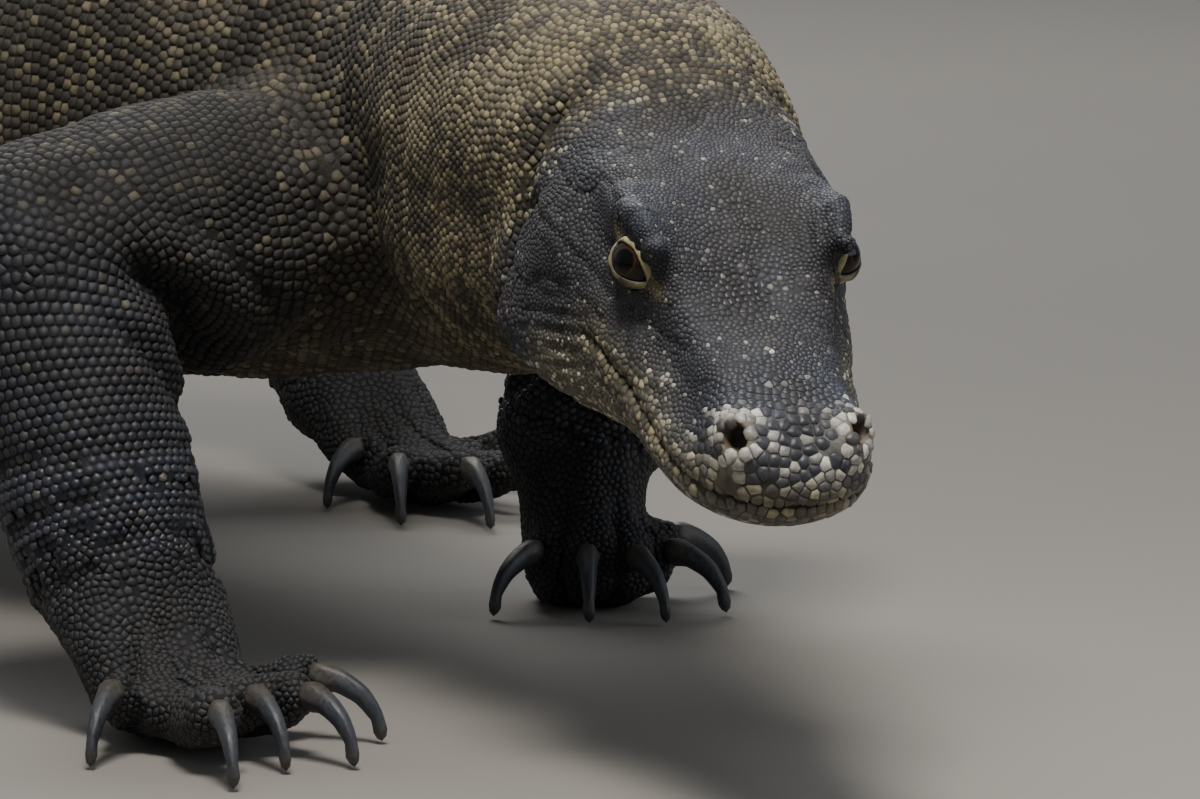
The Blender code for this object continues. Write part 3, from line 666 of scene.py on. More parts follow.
# Rings round the neck: place as a share of its length, depth and width in millimetres.
NECK_RINGS = ((0.10, 3.0, 5.0), (0.38, 2.2, 4.5), (0.62, 3.4, 6.0), (0.93, 3.8, 7.0), (1.25, 2.4, 6.0))
# Creases of elbow and knee: place as a share of the limb's radius, depth and width in millimetres.
BEND_CREASES = ((0, 13.0, 4.2), (0.22, -3.0, 6.0), (-0.22, -2.5, 6.0), (0.40, 2.6, 3.2), (-0.40, 2.2, 3.2))


def beside_line(points, line):
    """How far along the line each point lies, its distance from it, and the line's direction there."""
    rows, tangents, lengths = line
    index, distance = nearest_of(tree_of(rows), points, 1)
    return lengths[index[:, 0]], distance[:, 0], tangents[index[:, 0]]


def crease(points, cut, toward, depth, width, reach):
    """A groove along a parting, on the side that faces a point, over what is near enough."""
    middle, normal, radius = cut
    arm = points - middle
    off_plane = arm @ normal + 4 * MM * noise(points, 25 * MM, 16)
    side = unit(arm - (arm @ normal)[:, None] * normal) @ unit(toward - middle)
    near = 1 - fade(1.0, 1.35, length(arm) / radius)
    return depth * MM * bell(off_plane, width * MM) * fade(-0.2, 0.7, side * reach) * near


def wrist_bands(points, along_limb, side, end):
    """The folds round the wrist, from -1 in a furrow to 1 on a band, and how much they show."""
    past = along_limb - nearest_on(limb_lines[side, end], limb_partings[side, end][2][0])
    shown = fade(-62 * MM, -34 * MM, past) * (1 - fade(4 * MM, 20 * MM, past))
    phase = (along_limb + 1.6 * MM * noise(points, 24 * MM, 18)) / BAND * 2 * math.pi
    return (1 - 2 * np.abs(np.sin(phase / 2)) ** 6) * shown, shown


def toe_distances(points, side, end):
    """Distance of each point from each of the five toes' lines, one row for each toe."""
    return np.array([from_segment(points, *toe_lines[side, end, digit]) for digit in DIGITS])


points, normals = points_of(mesh), normals_of(mesh)
of_trunk = is_in(owners, *HEAD_NODES, *TRUNK_NODES)
along_body = np.full(len(points), 9.0)
along_body[of_trunk] = beside_line(points[of_trunk], spine)[0]
low_down = 1 - fade(-0.5, 0.5, normals[:, 2])
wander = 9 * MM * noise(points, 60 * MM, 11) + 4 * MM * noise(points, 22 * MM, 12)
loose = (0.35 + 0.65 * low_down) * (0.6 + 0.4 * noise(points, 35 * MM, 13))
push = np.zeros(len(points))
for share, depth, width in NECK_RINGS:
    station = neck_start + share * (neck_stop - neck_start)
    push -= depth * MM * bell(along_body + wander - station, width * MM) * loose
push += 1.6 * MM * noise(points, 42 * MM, 14) * fade(0.20, 0.26, along_body)
push += 0.8 * MM * noise(points, 16 * MM, 15) * ~shaped * ~is_in(owners, "tail_4")
for (side, end), cuts in limb_partings.items():
    limb = is_in(owners, *limb_nodes(side, end), "chest", "pelvis")
    (root, _, _), (middle, normal, radius), (wrist, _, _) = cuts
    for shift, depth, width in BEND_CREASES:
        moved = (middle + normal * shift * radius, normal, radius)
        push -= crease(points, moved, (root + wrist) / 2, depth, width, 1.6) * limb
    along_limb = beside_line(points[limb], limb_lines[side, end])[0]
    push[limb] += 1.7 * MM * wrist_bands(points[limb], along_limb, side, end)[0]
    for over, depth in ((-1, 4.5), (1, 3.5)):
        push -= crease(points, cuts[0], root + [0, 0, over], depth, 6, 1) * limb
for side, end in limb_lines:
    paw = is_in(owners, f"{side}_{end}")
    away = toe_distances(points[paw], side, end)
    order, nearest = np.sort(away, axis=0), away.argmin(axis=0)
    wrist = limb_partings[side, end][2][0]
    out = fade(0.25, 0.6, length((points[paw] - wrist)[:, :2]) / (75 * MM))
    root, tip = (np.array([toe_lines[side, end, digit][k] for digit in DIGITS])[nearest] for k in (0, 1))
    along_toe = ((points[paw] - root) * unit(tip - root)).sum(axis=1)
    knuckles = np.cos(along_toe / (6.5 * MM) * 2 * math.pi + 1.5 * noise(points[paw], 12 * MM, 17))
    knuckles = np.maximum(knuckles, 0) ** 2 * fade(0, 0.5, normals[paw][:, 2])
    push[paw] -= (3.2 * MM * bell(order[1] - order[0], 3.2 * MM) + 0.45 * MM * knuckles) * out
points += normals * push[:, None]
set_points(mesh, points)
work_on(skin)
bpy.ops.object.shade_smooth()
skin_tree = BVHTree.FromPolygons(points.tolist(), [tuple(p.vertices) for p in mesh.polygons])
print("folds from", round(push.min() * 1000, 1), "to", round(push.max() * 1000, 1), "mm")

# %% [markdown]
# ## The markings
#
# One function gives the colour of the hide at any point, for skin and scales alike: a base tone, a
# share of pale scales, and how glossy the horn is. Each scale draws its own number and is pale or dark.

# %% Markings of the hide
# The dark base of trunk and limbs is partly the hide's own tone and partly painted shade, which keeps them
# darker than the head.
PAINTS = {
    "dark": "#191816", "umber": "#25211d", "slate": "#242a37", "loam": "#5e5748", "cream": "#9b8f6b",
    "olive": "#6a634e", "chalk": "#e4e1d6", "belly": "#463f31", "rust": "#5a3f2d", "dust": "#67605a",
    "head grey": "#363538", "blue grey": "#333b4a", "tan": "#776750",
}
PAINTS = {name: np.array(linear(colour)) for name, colour in PAINTS.items()}
# For each region: shares of umber, slate and loam in the base, share of pale scales, paleness, gloss.
TONES = {
    "head": (0.0, 0.0, 0.0, 0.02, 1.0, 0.55), "neck": (0.4, 0.0, 0.62, 0.54, 0.74, 0.30),
    "chest": (0.6, 0.0, 0.28, 0.32, 0.50, 0.28), "belly": (0.6, 0.0, 0.28, 0.24, 0.50, 0.26),
    "pelvis": (0.7, 0.0, 0.15, 0.16, 0.45, 0.26), "tail_1": (0.6, 0.0, 0.10, 0.14, 0.45, 0.28),
    "tail_2": (0.5, 0.1, 0.08, 0.12, 0.45, 0.28), "tail_3": (0.4, 0.2, 0.05, 0.10, 0.4, 0.30),
    "tail_4": (0.3, 0.3, 0.0, 0.08, 0.4, 0.30), "upper_arm": (0.2, 0.1, 0.0, 0.11, 0.25, 0.20),
    "forearm": (0.0, 0.7, 0.0, 0.04, 0.3, 0.45), "hand": (0.1, 0.35, 0.0, 0.0, 0.2, 0.36),
    "thigh": (0.5, 0.1, 0.0, 0.16, 0.30, 0.26), "shank": (0.2, 0.45, 0.0, 0.05, 0.3, 0.36),
    "foot": (0.1, 0.3, 0.0, 0.0, 0.2, 0.34),
}


def mixed(base, tint, share):
    """One colour for each share, between the base and the tint."""
    return base + (tint - base) * np.clip(share, 0, 1)[:, None]


def from_lips(points):
    """In millimetres and mirrored to the left: across, back, up, and up from the slit of the mouth."""
    folded = folded_head(points)
    return *(folded.T / MM), (folded[:, 2] - lip_height(folded[:, 1])) / MM


def distance_to(place, points):
    return length(folded_head(points) - place) / MM


def markings(points, normals):
    """Base colour, pale colour, share of pale scales and gloss, for each point of the hide."""
    regions = soft_regions(points)
    umber, slate, loam, share, paleness, gloss = (by_region(regions, TONES, k) for k in range(6))
    cloud, patch, fine = (noise(points, size * MM, seed) for size, seed in ((45, 21), (16, 23), (8, 22)))
    base = mixed(np.tile(PAINTS["dark"], (len(points), 1)), PAINTS["umber"], umber * (0.8 + 0.5 * cloud))
    pale = np.tile(PAINTS["cream"], (len(points), 1))

    def paint(name, amount, strength=1.0):
        nonlocal base
        base = mixed(base, strength * PAINTS[name], amount)

    paint("slate", slate * (0.9 + 0.3 * patch))
    paint("loam", loam * (1.0 + 0.6 * patch + 0.4 * cloud))
    # trunk: duller and paler below, with loose rings of pale beads that break into clusters
    trunk = regions[:, 1 : 1 + len(TRUNK_NODES)].sum(axis=1)
    along = beside_line(points, spine)[0]
    paint("belly", 0.8 * fade(0.2, -0.7, normals[:, 2]) * trunk)
    rings = np.sin(along / (31 * MM) * 2 * math.pi + 1.8 * cloud) * fade(0.0, 0.1, along - neck_start)
    share = share * np.clip(0.9 + 0.35 * rings * trunk + 0.8 * patch + 0.6 * fine, 0.05, 2)
    # limbs: glossier slate bands round the wrists and ankles; the crests are painted paler and bluer, partly
    # the hide's tone and partly a painted sheen
    near = owner_of(points)
    for (side, end), line in limb_lines.items():
        arm = is_in(near, *limb_nodes(side, end))
        band, shown = wrist_bands(points[arm], beside_line(points[arm], line)[0], side, end)
        gloss[arm] += 0.30 * shown
        base[arm] = mixed(base[arm], 1.5 * PAINTS["slate"], 0.6 * np.clip(band, 0, 1))
    # a collar of paler scales on the neck, then the grey head with a blue bloom on brows and snout
    across, back, up, above = from_lips(points)
    collar = bell(back - 0.30 * np.maximum(up, -20) - 190, 13) * trunk
    share, paleness = share + 0.20 * collar, paleness + 0.15 * collar
    in_head = fade(0.10, 0.90, regions[:, 0] + 0.30 * patch)
    paint("head grey", in_head)
    snout = (1 - fade(34, 66, back)) * in_head
    brow = bell(across - 34, 12) * bell(back - 104, 30) * bell(up - 48, 14)
    paint("blue grey", (0.25 + 0.35 * patch + 0.5 * snout + 0.5 * brow) * in_head)
    # round the eye: a ring of painted shade in the hollow round the lids, and a cream streak at each corner
    base = base * (1 - 0.45 * bell(distance_to(EYE, points) - 14, 6) * in_head)[:, None]
    for reach in (-12.5 * MM, 13 * MM):
        beside = folded_head(points) - (EYE + reach * SLIT_ALONG + 3 * MM * GAZE)
        streak = np.sqrt((beside @ SLIT_ALONG / 1.6) ** 2 + (beside @ SLIT_ACROSS) ** 2)
        paint("cream", 0.85 * bell(streak, 2.6 * MM) * in_head)
    # chalk round the nostrils and on the bridge of the nose, cream on cheeks, lips and chin
    to_nostril = distance_to(NOSTRIL, points)
    bridge = bell(across, 15) * bell(up - 13, 6) * (1 - fade(2, 18, back))
    chalk = np.maximum(0.75 * bell(to_nostril - 8, 6), 0.8 * bridge) * (0.8 + 0.5 * fine)
    chalk = chalk + 0.22 * snout * fade(0.1, 0.4, fine)
    cheek = bell(back - 66, 26) * bell(up - 6, 12) * fade(20, 30, across) * fade(-0.2, 0.5, fine)
    lips = bell(above, 9) * (1 - fade(100, 122, back))
    under = (1 - fade(-14, -1, above)) * (1 - fade(118, 140, back))
    head_share = 0.016 * fade(0, 0.4, patch) + chalk + 0.38 * cheek + 0.22 * lips + 0.20 * under
    share = share + (head_share - share) * in_head
    white = np.maximum(snout * (1 - 0.8 * lips), 0.6) * (1 - lips) * in_head
    pale = mixed(pale, PAINTS["chalk"], white)
    paint("olive", np.maximum(0.70 * lips, 0.80 * under) * in_head)
    paint("tan", 0.6 * bell(to_nostril, 6.5) * in_head)
    # a dark stain at the front of the lips, and darker glossy beads on the forehead
    stain = bell(across, 14) * bell(up + 0.5, 3) * (1 - fade(3, 12, back)) * in_head
    paint("rust", 0.8 * stain, 0.30)
    share = share * (1 - 0.8 * stain)
    forehead = bell(across, 17) * bell(back - 84, 22) * fade(15, 25, up) * in_head
    base = base * (1 - 0.30 * forehead)[:, None]
    gloss = gloss + 0.30 * snout + 0.10 * brow * in_head + 0.30 * forehead
    # slow changes of depth, so that no part of the hide is one flat tone
    base = base * (1 + 0.20 * cloud + 0.20 * patch + 0.16 * fine)[:, None]
    return base, mixed(base, pale, paleness), np.clip(share, 0, 0.95), np.clip(gloss, 0, 1)


def store_colours(mesh, colours, gloss):
    """Keep a colour for each point, with the gloss as its fourth channel."""
    layer = mesh.color_attributes.new("markings", "FLOAT_COLOR", "POINT")
    layer.data.foreach_set("color", np.hstack([colours, gloss[:, None]]).astype(np.float32).ravel())


normals = normals_of(mesh)
base, pale, share, gloss = markings(points, normals)
between = 0.50 * mixed(base, pale, 0.6 * share)
# inside the nostril the skin is tan, painted darker the deeper it goes, as painted shade
sunk = fade(-1 * MM, 5 * MM, -(folded_head(points) - NOSTRIL) @ NOSTRIL_OUT)[:, None]
between = mixed(between, PAINTS["tan"] * (1 - 0.8 * sunk), bell(distance_to(NOSTRIL, points), 7))
store_colours(mesh, between, gloss)
print("share of pale scales, on average:", round(float(share.mean()), 3))

# %% [markdown]
# ## The coat of scales
#
# A monitor's scales are beads of horn in rings round body and limbs, and on the head a pavement of
# small many-sided plates. Such a coat is grown: seed points in rings, let crowded points push one
# another apart, and give each the room that is nearer to it than to its neighbours.

# %% How far apart the scales are
SPACING = {
    "head": 1.85, "neck": 3.3, "chest": 4.4, "belly": 6.2, "pelvis": 6.2, "tail_1": 5.8, "tail_2": 5.4,
    "tail_3": 4.6, "tail_4": 3.8, "upper_arm": 3.8, "forearm": 3.9, "hand": 2.8, "thigh": 5.4,
    "shank": 4.6, "foot": 3.3,
}  # in millimetres
PAVING_SHARE = 0.87
COARSER = 1.0


def scale_spacing(points):
    """The distance between neighbouring scales at each point, in metres."""
    regions = soft_regions(points)
    spacing = regions @ np.array([SPACING[name] for name in REGIONS])
    across, back, up, above = from_lips(points)
    beads = 1.0 * bell(across, 17) * bell(back - 84, 22) * (up > 20)
    snout = 2.3 * (1 - fade(16, 46, back))
    lips = 1.4 * bell(above, 7) * (1 - fade(90, 115, back))
    chin = 0.8 * fade(-16, -30, up)
    finer = 0.45 * bell(distance_to(EYE, points), 17)
    uneven = 0.42 * noise(points, 5 * MM, 24) + 0.30 * noise(points, 17 * MM, 25)
    larger = np.maximum(np.maximum(beads, snout), np.maximum(lips, chin))
    return (spacing + (larger - finer + uneven) * regions[:, 0]) * MM * COARSER


mesh.calc_loop_triangles()
triangles = np.empty(3 * len(mesh.loop_triangles), np.int32)
mesh.loop_triangles.foreach_get("vertices", triangles)
triangles = triangles.reshape(-1, 3)
a, b, c = (points[triangles[:, k]] for k in range(3))
areas = length(np.cross(b - a, c - a)) / 2
expected = areas / (PAVING_SHARE * scale_spacing(points)[triangles].mean(axis=1) ** 2)
print("scales expected:", int(expected.sum()), "on", round(float(areas.sum()), 3), "square metres")

# %% [markdown]
# From stations on the line through a part, rays go out to the skin, and points are set along each
# ring at equal distances. The head, hands and feet are seeded at random.

# %% Seeds in rings and at random
random = np.random.default_rng(7)
RAYS = 96
RING_STEP = 0.88


def ring_seeds(line, names, first=0.0):
    """Points on the skin in rings round a line, on these solids only."""
    rows, tangents, lengths = line
    found, station, turn = [], first, 0
    while station < lengths[-1]:
        centre = np.array([np.interp(station, lengths, column) for column in rows.T])
        along = unit([np.interp(station, lengths, column) for column in tangents.T])
        side = unit(np.cross(along, [0, 0, 1.0] if abs(along[2]) < 0.8 else [0, 1.0, 0]))
        over = np.cross(side, along)

        def hit_at(angle):
            return skin_tree.ray_cast(centre, math.cos(angle) * side + math.sin(angle) * over)[0]

        angles = np.linspace(0, 2 * math.pi, RAYS, endpoint=False) - math.pi / 2
        ring = np.array([(np.nan,) * 3 if hit is None else hit[:] for hit in map(hit_at, angles)])
        on_ring = skin_tree.find_nearest(centre)[0]
        spacing = float(scale_spacing(np.array([on_ring]))[0])
        if np.isfinite(ring[:, 0]).sum() < RAYS / 2:
            station += spacing
            continue
        steps = length(np.diff(np.vstack([ring, ring[:1]]), axis=0))
        usual = np.nanmedian(steps)
        steps = np.where(np.isfinite(steps) & (steps < 3 * usual), steps, usual)
        travelled = np.r_[0, np.cumsum(steps)]
        number = max(5, round(travelled[-1] / spacing))
        wanted = (np.arange(number) + 0.5 * (turn % 2)) / number * travelled[-1]
        for k in np.interp(wanted % travelled[-1], travelled, np.arange(RAYS + 1)):
            hit = hit_at(angles[0] + k / RAYS * 2 * math.pi)
            if hit is not None:
                found.append(hit[:])
        station += RING_STEP * spacing
        turn += 1
    found = np.array(found)
    return found[is_in(owner_of(found), *names)]


def thinned(points, least):
    """The points without those that lie nearer to an earlier one than least times the spacing."""
    tree, reach = tree_of(points), least * scale_spacing(points)
    gone = np.zeros(len(points), bool)
    for i, p in enumerate(points.tolist()):
        if not gone[i]:
            gone[[j for _, j, _ in tree.find_range(p, reach[i]) if j > i]] = True
    return points[~gone]


def scattered(weights, number):
    """Random points on the skin, more of them where the weights are larger."""
    chosen = random.choice(len(triangles), number, p=weights / weights.sum())
    u, v = random.random((2, number))
    over = u + v > 1
    u[over], v[over] = 1 - u[over], 1 - v[over]
    return a[chosen] + u[:, None] * (b - a)[chosen] + v[:, None] * (c - a)[chosen]


rings = [ring_seeds(spine, TRUNK_NODES, first=neck_start - 0.02)]
rings += [ring_seeds(line, limb_nodes(side, end)[:2]) for (side, end), line in limb_lines.items()]
paved = is_in(owners[triangles[:, 0]], *FINE_NODES)
paving = scattered(expected * paved, int(expected[paved].sum()))
seeds = thinned(np.concatenate(rings), 0.66)
spare = scattered(expected * ~paved, int(2.0 * expected[~paved].sum()))
spare = spare[nearest_of(tree_of(seeds), spare, 1)[1][:, 0] > 0.72 * scale_spacing(spare)]
spare = thinned(spare, 0.78)
print("seeds:", len(seeds), "in rings,", len(spare), "between them,", len(paving), "paving")

# %% [markdown]
# Seeds that sit too close push each other apart along the skin, until the paving is even.

# %% Even out the paving
NEIGHBOURS = 7
ROUNDS = 7
BODY_ROUNDS = 4


def on_skin(points):
    """Each point moved to the skin."""
    return np.array([skin_tree.find_nearest(p)[0] for p in points.tolist()])


def pushed_apart(moving, fixed, rounds):
    """The moving points after rounds of pushing against each other and against the fixed ones."""
    spacing = scale_spacing(moving)
    for step in range(rounds):
        everyone = np.vstack([moving, fixed])
        index, distance = nearest_of(tree_of(everyone), moving, NEIGHBOURS)
        arms = moving[:, None, :] - everyone[index]
        overlap = np.maximum(1.12 * spacing[:, None] - distance, 0) * (distance > 1e-9)
        push = (arms / np.maximum(distance, 1e-9)[..., None] * overlap[..., None]).sum(axis=1)
        moving = on_skin(moving + 0.30 * push)
        if step % 3 == 2:
            spacing = scale_spacing(moving)
    return moving


body = np.vstack([seeds, spare])
paving = pushed_apart(paving, body[is_in(owner_of(body), "neck", *LIMB_NODES)], ROUNDS)
body = pushed_apart(body, paving, BODY_ROUNDS)
roots = thinned(np.vstack([body, paving]), 0.60)
# none in the eyes' slits, in the nostrils and between the lips
folded = folded_head(roots)
_, eye_distance, eye_angle, eye_turn = round_eye(folded)
bare_lid = slit_edge(eye_turn) + np.radians(12 + 6 * np.sin(eye_turn))
in_slit = (eye_angle < bare_lid) & (eye_distance < 14 * MM)
arm = folded - NOSTRIL
off_axis = length(arm - (arm @ NOSTRIL_OUT)[:, None] * NOSTRIL_OUT)
in_nostril = (off_axis < 4.9 * MM) & (length(arm) < 10 * MM)
lip_gap = np.abs(folded[:, 2] - lip_height(folded[:, 1]))
in_lips = (lip_gap < 1.2 * MM) & (folded[:, 1] < MOUTH_CORNER_BACK) & (folded[:, 1] > -20 * MM)
roots = roots[~((in_slit | in_nostril | in_lips) & is_in(owner_of(roots), *HEAD_NODES))]
print("scales:", len(roots))

# %% [markdown]
# The border with a neighbour runs half way to it, so a scale reaches to the nearest border in each
# direction. A shoulder and a crown make the plate: flat on the head, domed and leaning back on the
# body, with two dozen triangles at most.

# %% The room and the shape of each scale
GAP = 0.13 * MM
DIRECTIONS = 30
LEAST_REACH, MOST_REACH, MOST_CURVE = 0.22, 0.70, 0.4


def lie_of_the_coat(points, owners):
    """The direction from head to tail, or down the limb, at each point."""
    lie = np.tile(HEAD_AXES[:, 1], (len(points), 1))
    trunk = is_in(owners, *TRUNK_NODES)
    lie[trunk] = beside_line(points[trunk], spine)[2]
    for (side, end), line in limb_lines.items():
        limb, paw = is_in(owners, *limb_nodes(side, end)), is_in(owners, f"{side}_{end}")
        lie[limb] = beside_line(points[limb], line)[2]
        directions = unit([np.subtract(*toe_lines[side, end, digit][::-1]) for digit in DIGITS])
        lie[paw] = directions[toe_distances(points[paw], side, end).argmin(axis=0)]
    return lie


def along_axis(rows, axis):
    return (rows * axis[:, None, :]).sum(axis=2)


owners_of_roots = owner_of(roots)
roots = on_skin(roots)
root_normals = unit(normals_of(mesh)[nearest_of(tree_of(points_of(mesh)), roots, 5)[0]].sum(axis=1))
index = nearest_of(tree_of(roots), roots, 13)[0][:, 1:]
spacing = scale_spacing(roots)
head = to_head(roots)
plate = is_in(owners_of_roots, *HEAD_NODES) * (1 - fade(30 * MM, 62 * MM, head[:, 1]))
bead = 1 - soft_regions(roots)[:, 0]
lie = lie_of_the_coat(roots, owners_of_roots)
first = unit(lie - (lie * root_normals).sum(axis=1)[:, None] * root_normals)
second = np.cross(root_normals, first)
arms = roots[index] - roots[:, None, :]
arm_first, arm_second, arm_height = (along_axis(arms, axis) for axis in (first, second, root_normals))
flat = np.hypot(arm_first, arm_second)
same_side = along_axis(root_normals[index], root_normals) > 0.2


def room_of(chosen, turn):
    """Reach and curve of the chosen scales in these directions, one row of them for each scale."""
    cos, sin = np.cos(turn)[:, :, None], np.sin(turn)[:, :, None]
    toward = cos * arm_first[chosen][:, None, :] + sin * arm_second[chosen][:, None, :]
    away, facing = flat[chosen][:, None, :], same_side[chosen][:, None, :]
    size = spacing[chosen][:, None]
    usable = (toward > 0.15 * away) & facing
    reach = np.where(usable, away**2 / (2 * np.maximum(toward, 1e-9)), 1.0).min(axis=2)
    reach = np.clip(reach, LEAST_REACH * size, MOST_REACH * size) - GAP * COARSER
    away = np.maximum(away, 1e-9)
    weight = np.maximum(toward / away, 0) ** 4 * facing + 1e-9
    curve = (weight * (arm_height[chosen][:, None, :] / away**2)).sum(axis=2) / weight.sum(axis=2)
    return np.maximum(reach, 0.15 * size), np.clip(curve, -MOST_CURVE / size, MOST_CURVE / size)


def corners_of(reach, turn, number):
    """The directions of a polygon's corners: the one that matters least is dropped, again and again."""
    rows = np.arange(len(reach))
    while reach.shape[1] > number:
        x, y = reach * np.cos(turn), reach * np.sin(turn)
        last_x, last_y, next_x, next_y = (np.roll(v, k, axis=1) - v for k in (1, -1) for v in (x, y))
        kept = np.ones(reach.shape, bool)
        kept[rows, np.abs(last_x * next_y - last_y * next_x).argmin(axis=1)] = False
        reach, turn = (values[kept].reshape(len(rows), -1) for values in (reach, turn))
    return turn


def grow_scales(chosen, sides):
    """Points and faces of the chosen scales, each with a rim, a shoulder and a crown."""
    turn = random.uniform(0, 1, (len(chosen), 1)) + np.arange(DIRECTIONS) * 2 * math.pi / DIRECTIONS
    turn = corners_of(room_of(chosen, turn)[0], turn, sides)
    reach, curve = room_of(chosen, turn)
    cos, sin = np.cos(turn), np.sin(turn)
    root, ahead, across, up = (rows[chosen][:, None, :] for rows in (roots, first, second, root_normals))
    size, flatter, beady = (values[chosen][:, None] for values in (spacing, plate, bead))
    height = (0.11 + 0.08 * beady) * size * random.uniform(0.75, 1.3, (len(chosen), 1))
    lean = 0.35 * beady
    shoulder = (0.80 - 0.06 * beady + 0.06 * flatter, 0.74 + 0.16 * flatter, 0.25)
    rings = []
    for share, lift, tilt in ((1.0, -0.35, 0.0), shoulder):
        out = reach * share
        rise = curve * out**2 + height * (lift + tilt * lean * cos)
        level = (out * cos)[..., None] * ahead + (out * sin)[..., None] * across
        rings.append(root + level + rise[..., None] * up)
    crown = root + up * height[..., None] + ahead * (0.18 * lean * size)[..., None]
    k = np.arange(sides)
    after = (k + 1) % sides
    band = np.stack([k, after, after + sides, k + sides], axis=1)
    fan = np.stack([k + sides, after + sides, np.full(sides, 2 * sides)], axis=1)
    return np.concatenate([*rings, crown], axis=1), band, fan


print("median room", round(float(np.median(flat[:, 0])) * 1000, 2), "mm to the nearest neighbour")

# %% [markdown]
# The horn is keratin, slightly waxy, scuffed and dusty. Its colour comes with each scale, and the
# shader adds what is finer: cloudy pigment, pale scuffs, and dust where it faces up.

# %% Finishes of skin and scales
def grained_hide(name, grain, scuff, dust, bump, specular):
    """Keratin or skin coloured by the markings, with grain and scuffs of those sizes in metres."""
    material, tree, shader, place = new_material(name, IOR=1.5, Specular_IOR_Level=specular)
    marks = stored(tree, "markings")
    cloud = noise_node(tree, place, grain, 4.0, Roughness=0.6)
    clouded = scaled_colour(tree, marks.outputs["Color"], mapped(tree, cloud, 0.30, 0.72, 0.62, 1.42))
    fleck = noise_node(tree, place, scuff, 3.0, Roughness=0.7)
    normal = add_node(tree, "NewGeometry").outputs["Normal"]
    upward = add_node(tree, "SeparateXYZ", Vector=normal).outputs["Z"]
    facing, flecked = mapped(tree, upward, -0.3, 1.0, 0.25, 1.0), mapped(tree, fleck, 0.52, 0.80, 0.0, dust)
    dusted = blended(tree, calculated(tree, "MULTIPLY", facing, flecked), clouded, (*linear("#8d8474"), 1))
    tree.links.new(dusted, shader.inputs["Base Color"])
    rough = mapped(tree, marks.outputs["Alpha"], 0.0, 1.0, 0.72, 0.26)
    tree.links.new(calculated(tree, "MULTIPLY_ADD", fleck, 0.30, rough), shader.inputs["Roughness"])
    raise_bumps(tree, shader, fleck, bump, 0.6)
    return material


scale_horn = grained_hide("scuffed keratin of the scales", 2.6 * MM, 0.55 * MM, 0.30, 0.12 * MM, 0.55)
skin_leather = grained_hide("dark skin between the scales", 3.0 * MM, 0.9 * MM, 0.25, 0.35 * MM, 0.30)
skin.data.materials.append(skin_leather)
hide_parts(*FLESH)
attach(skin, "root")
print("finishes:", scale_horn.name, "|", skin_leather.name)

# %% [markdown]
# The scales are gathered into pieces. On each piece's flat map every scale is a small patch, at its
# root's place on an unwrap of the skin: its six sides, laid out in two rows of three.

# %% Scales into pieces
BAKE_PATCH, BAKE_MARGIN = 0.003, 0.03
coat_marks = markings(roots, root_normals)


def bake_places(points, normals):
    """Places from 0 to 1 on a box unwrap: the side that the skin faces, then where on that side."""
    axis = np.abs(normals).argmax(axis=1)
    row = (normals[np.arange(len(points)), axis] > 0).astype(int)
    low, high = points.min(axis=0), points.max(axis=0)
    inside = (points - low) / np.maximum(high - low, 1e-6)
    places = np.empty((len(points), 2))
    for k, (u, v) in enumerate(((1, 2), (0, 2), (0, 1))):
        for part in (0, 1):
            here = (axis == k) & (row == part)
            if here.any():
                cell = inside[here][:, (u, v)]
                cell = (cell - cell.min(axis=0)) / np.maximum(np.ptp(cell, axis=0), 1e-6)
                places[here] = (np.array([k, part]) + BAKE_MARGIN + (1 - 2 * BAKE_MARGIN) * cell) / [3, 2]
    return places


def add_coat(name, chosen, sides=6):
    """One piece of the coat, from the numbers of its scales."""
    count, per_scale = len(chosen), 2 * sides + 1
    base, pale, share, gloss = (values[chosen] for values in coat_marks)
    draw = random.random(count)
    is_pale = fade(-0.06, 0.06, share - draw) * random.uniform(0.35, 1.0, count)
    colour = mixed(base, pale, is_pale) * random.uniform(0.74, 1.26, (count, 1))
    points, band, fan = grow_scales(chosen, sides)
    starts = np.arange(count)[:, None, None] * per_scale
    quads, fans = (band[None] + starts).reshape(-1, 4), (fan[None] + starts).reshape(-1, 3)
    loops = np.concatenate([quads.ravel(), fans.ravel()]).astype(np.int32)
    loop_starts = np.r_[np.arange(len(quads)) * 4, len(quads) * 4 + np.arange(len(fans)) * 3]
    mesh = bpy.data.meshes.new(name)
    mesh.vertices.add(count * per_scale)
    mesh.vertices.foreach_set("co", points.astype(np.float32).ravel())
    mesh.loops.add(len(loops))
    mesh.loops.foreach_set("vertex_index", loops)
    mesh.polygons.add(len(loop_starts))
    mesh.polygons.foreach_set("loop_start", loop_starts.astype(np.int32))
    mesh.update(calc_edges=True)
    mesh.shade_smooth()
    # rim painted darker as painted shade in its pocket, a dusty shoulder, and the clean crown a little
    # lighter
    dusty = mixed(colour, PAINTS["dust"], 0.04 + 0.17 * random.random(count))
    rim_painted_shade = (0.60 - 0.20 * bead[chosen])[:, None] * colour
    crown = mixed(1.08 * colour, base, 0.28 * plate[chosen])
    rows = np.stack([rim_painted_shade] * sides + [dusty] * sides + [crown], axis=1)
    gloss = np.clip(gloss * random.uniform(0.6, 1.45, count), 0, 1)
    store_colours(mesh, rows.reshape(-1, 3), np.repeat(gloss, per_scale))
    arm = points - roots[chosen][:, None, :]
    patch = np.stack([along_axis(arm, axis[chosen]) for axis in (first, second)], axis=2)
    patch *= 0.5 * BAKE_PATCH / np.abs(patch).max(axis=(1, 2), keepdims=True)
    places = bake_places(roots[chosen], root_normals[chosen])
    uv = (places[:, None, :] + patch).reshape(-1, 2)[loops]
    mesh.uv_layers.new(name="OFBake").data.foreach_set("uv", uv.astype(np.float32).ravel())
    coat = bpy.data.objects.new(name, mesh)
    bpy.context.scene.collection.objects.link(coat)
    mesh.materials.append(scale_horn)
    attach(coat, "root")
    print(f"{name:22s} {count:6d} scales {count * 3 * sides:7d} triangles")
    return count * 3 * sides


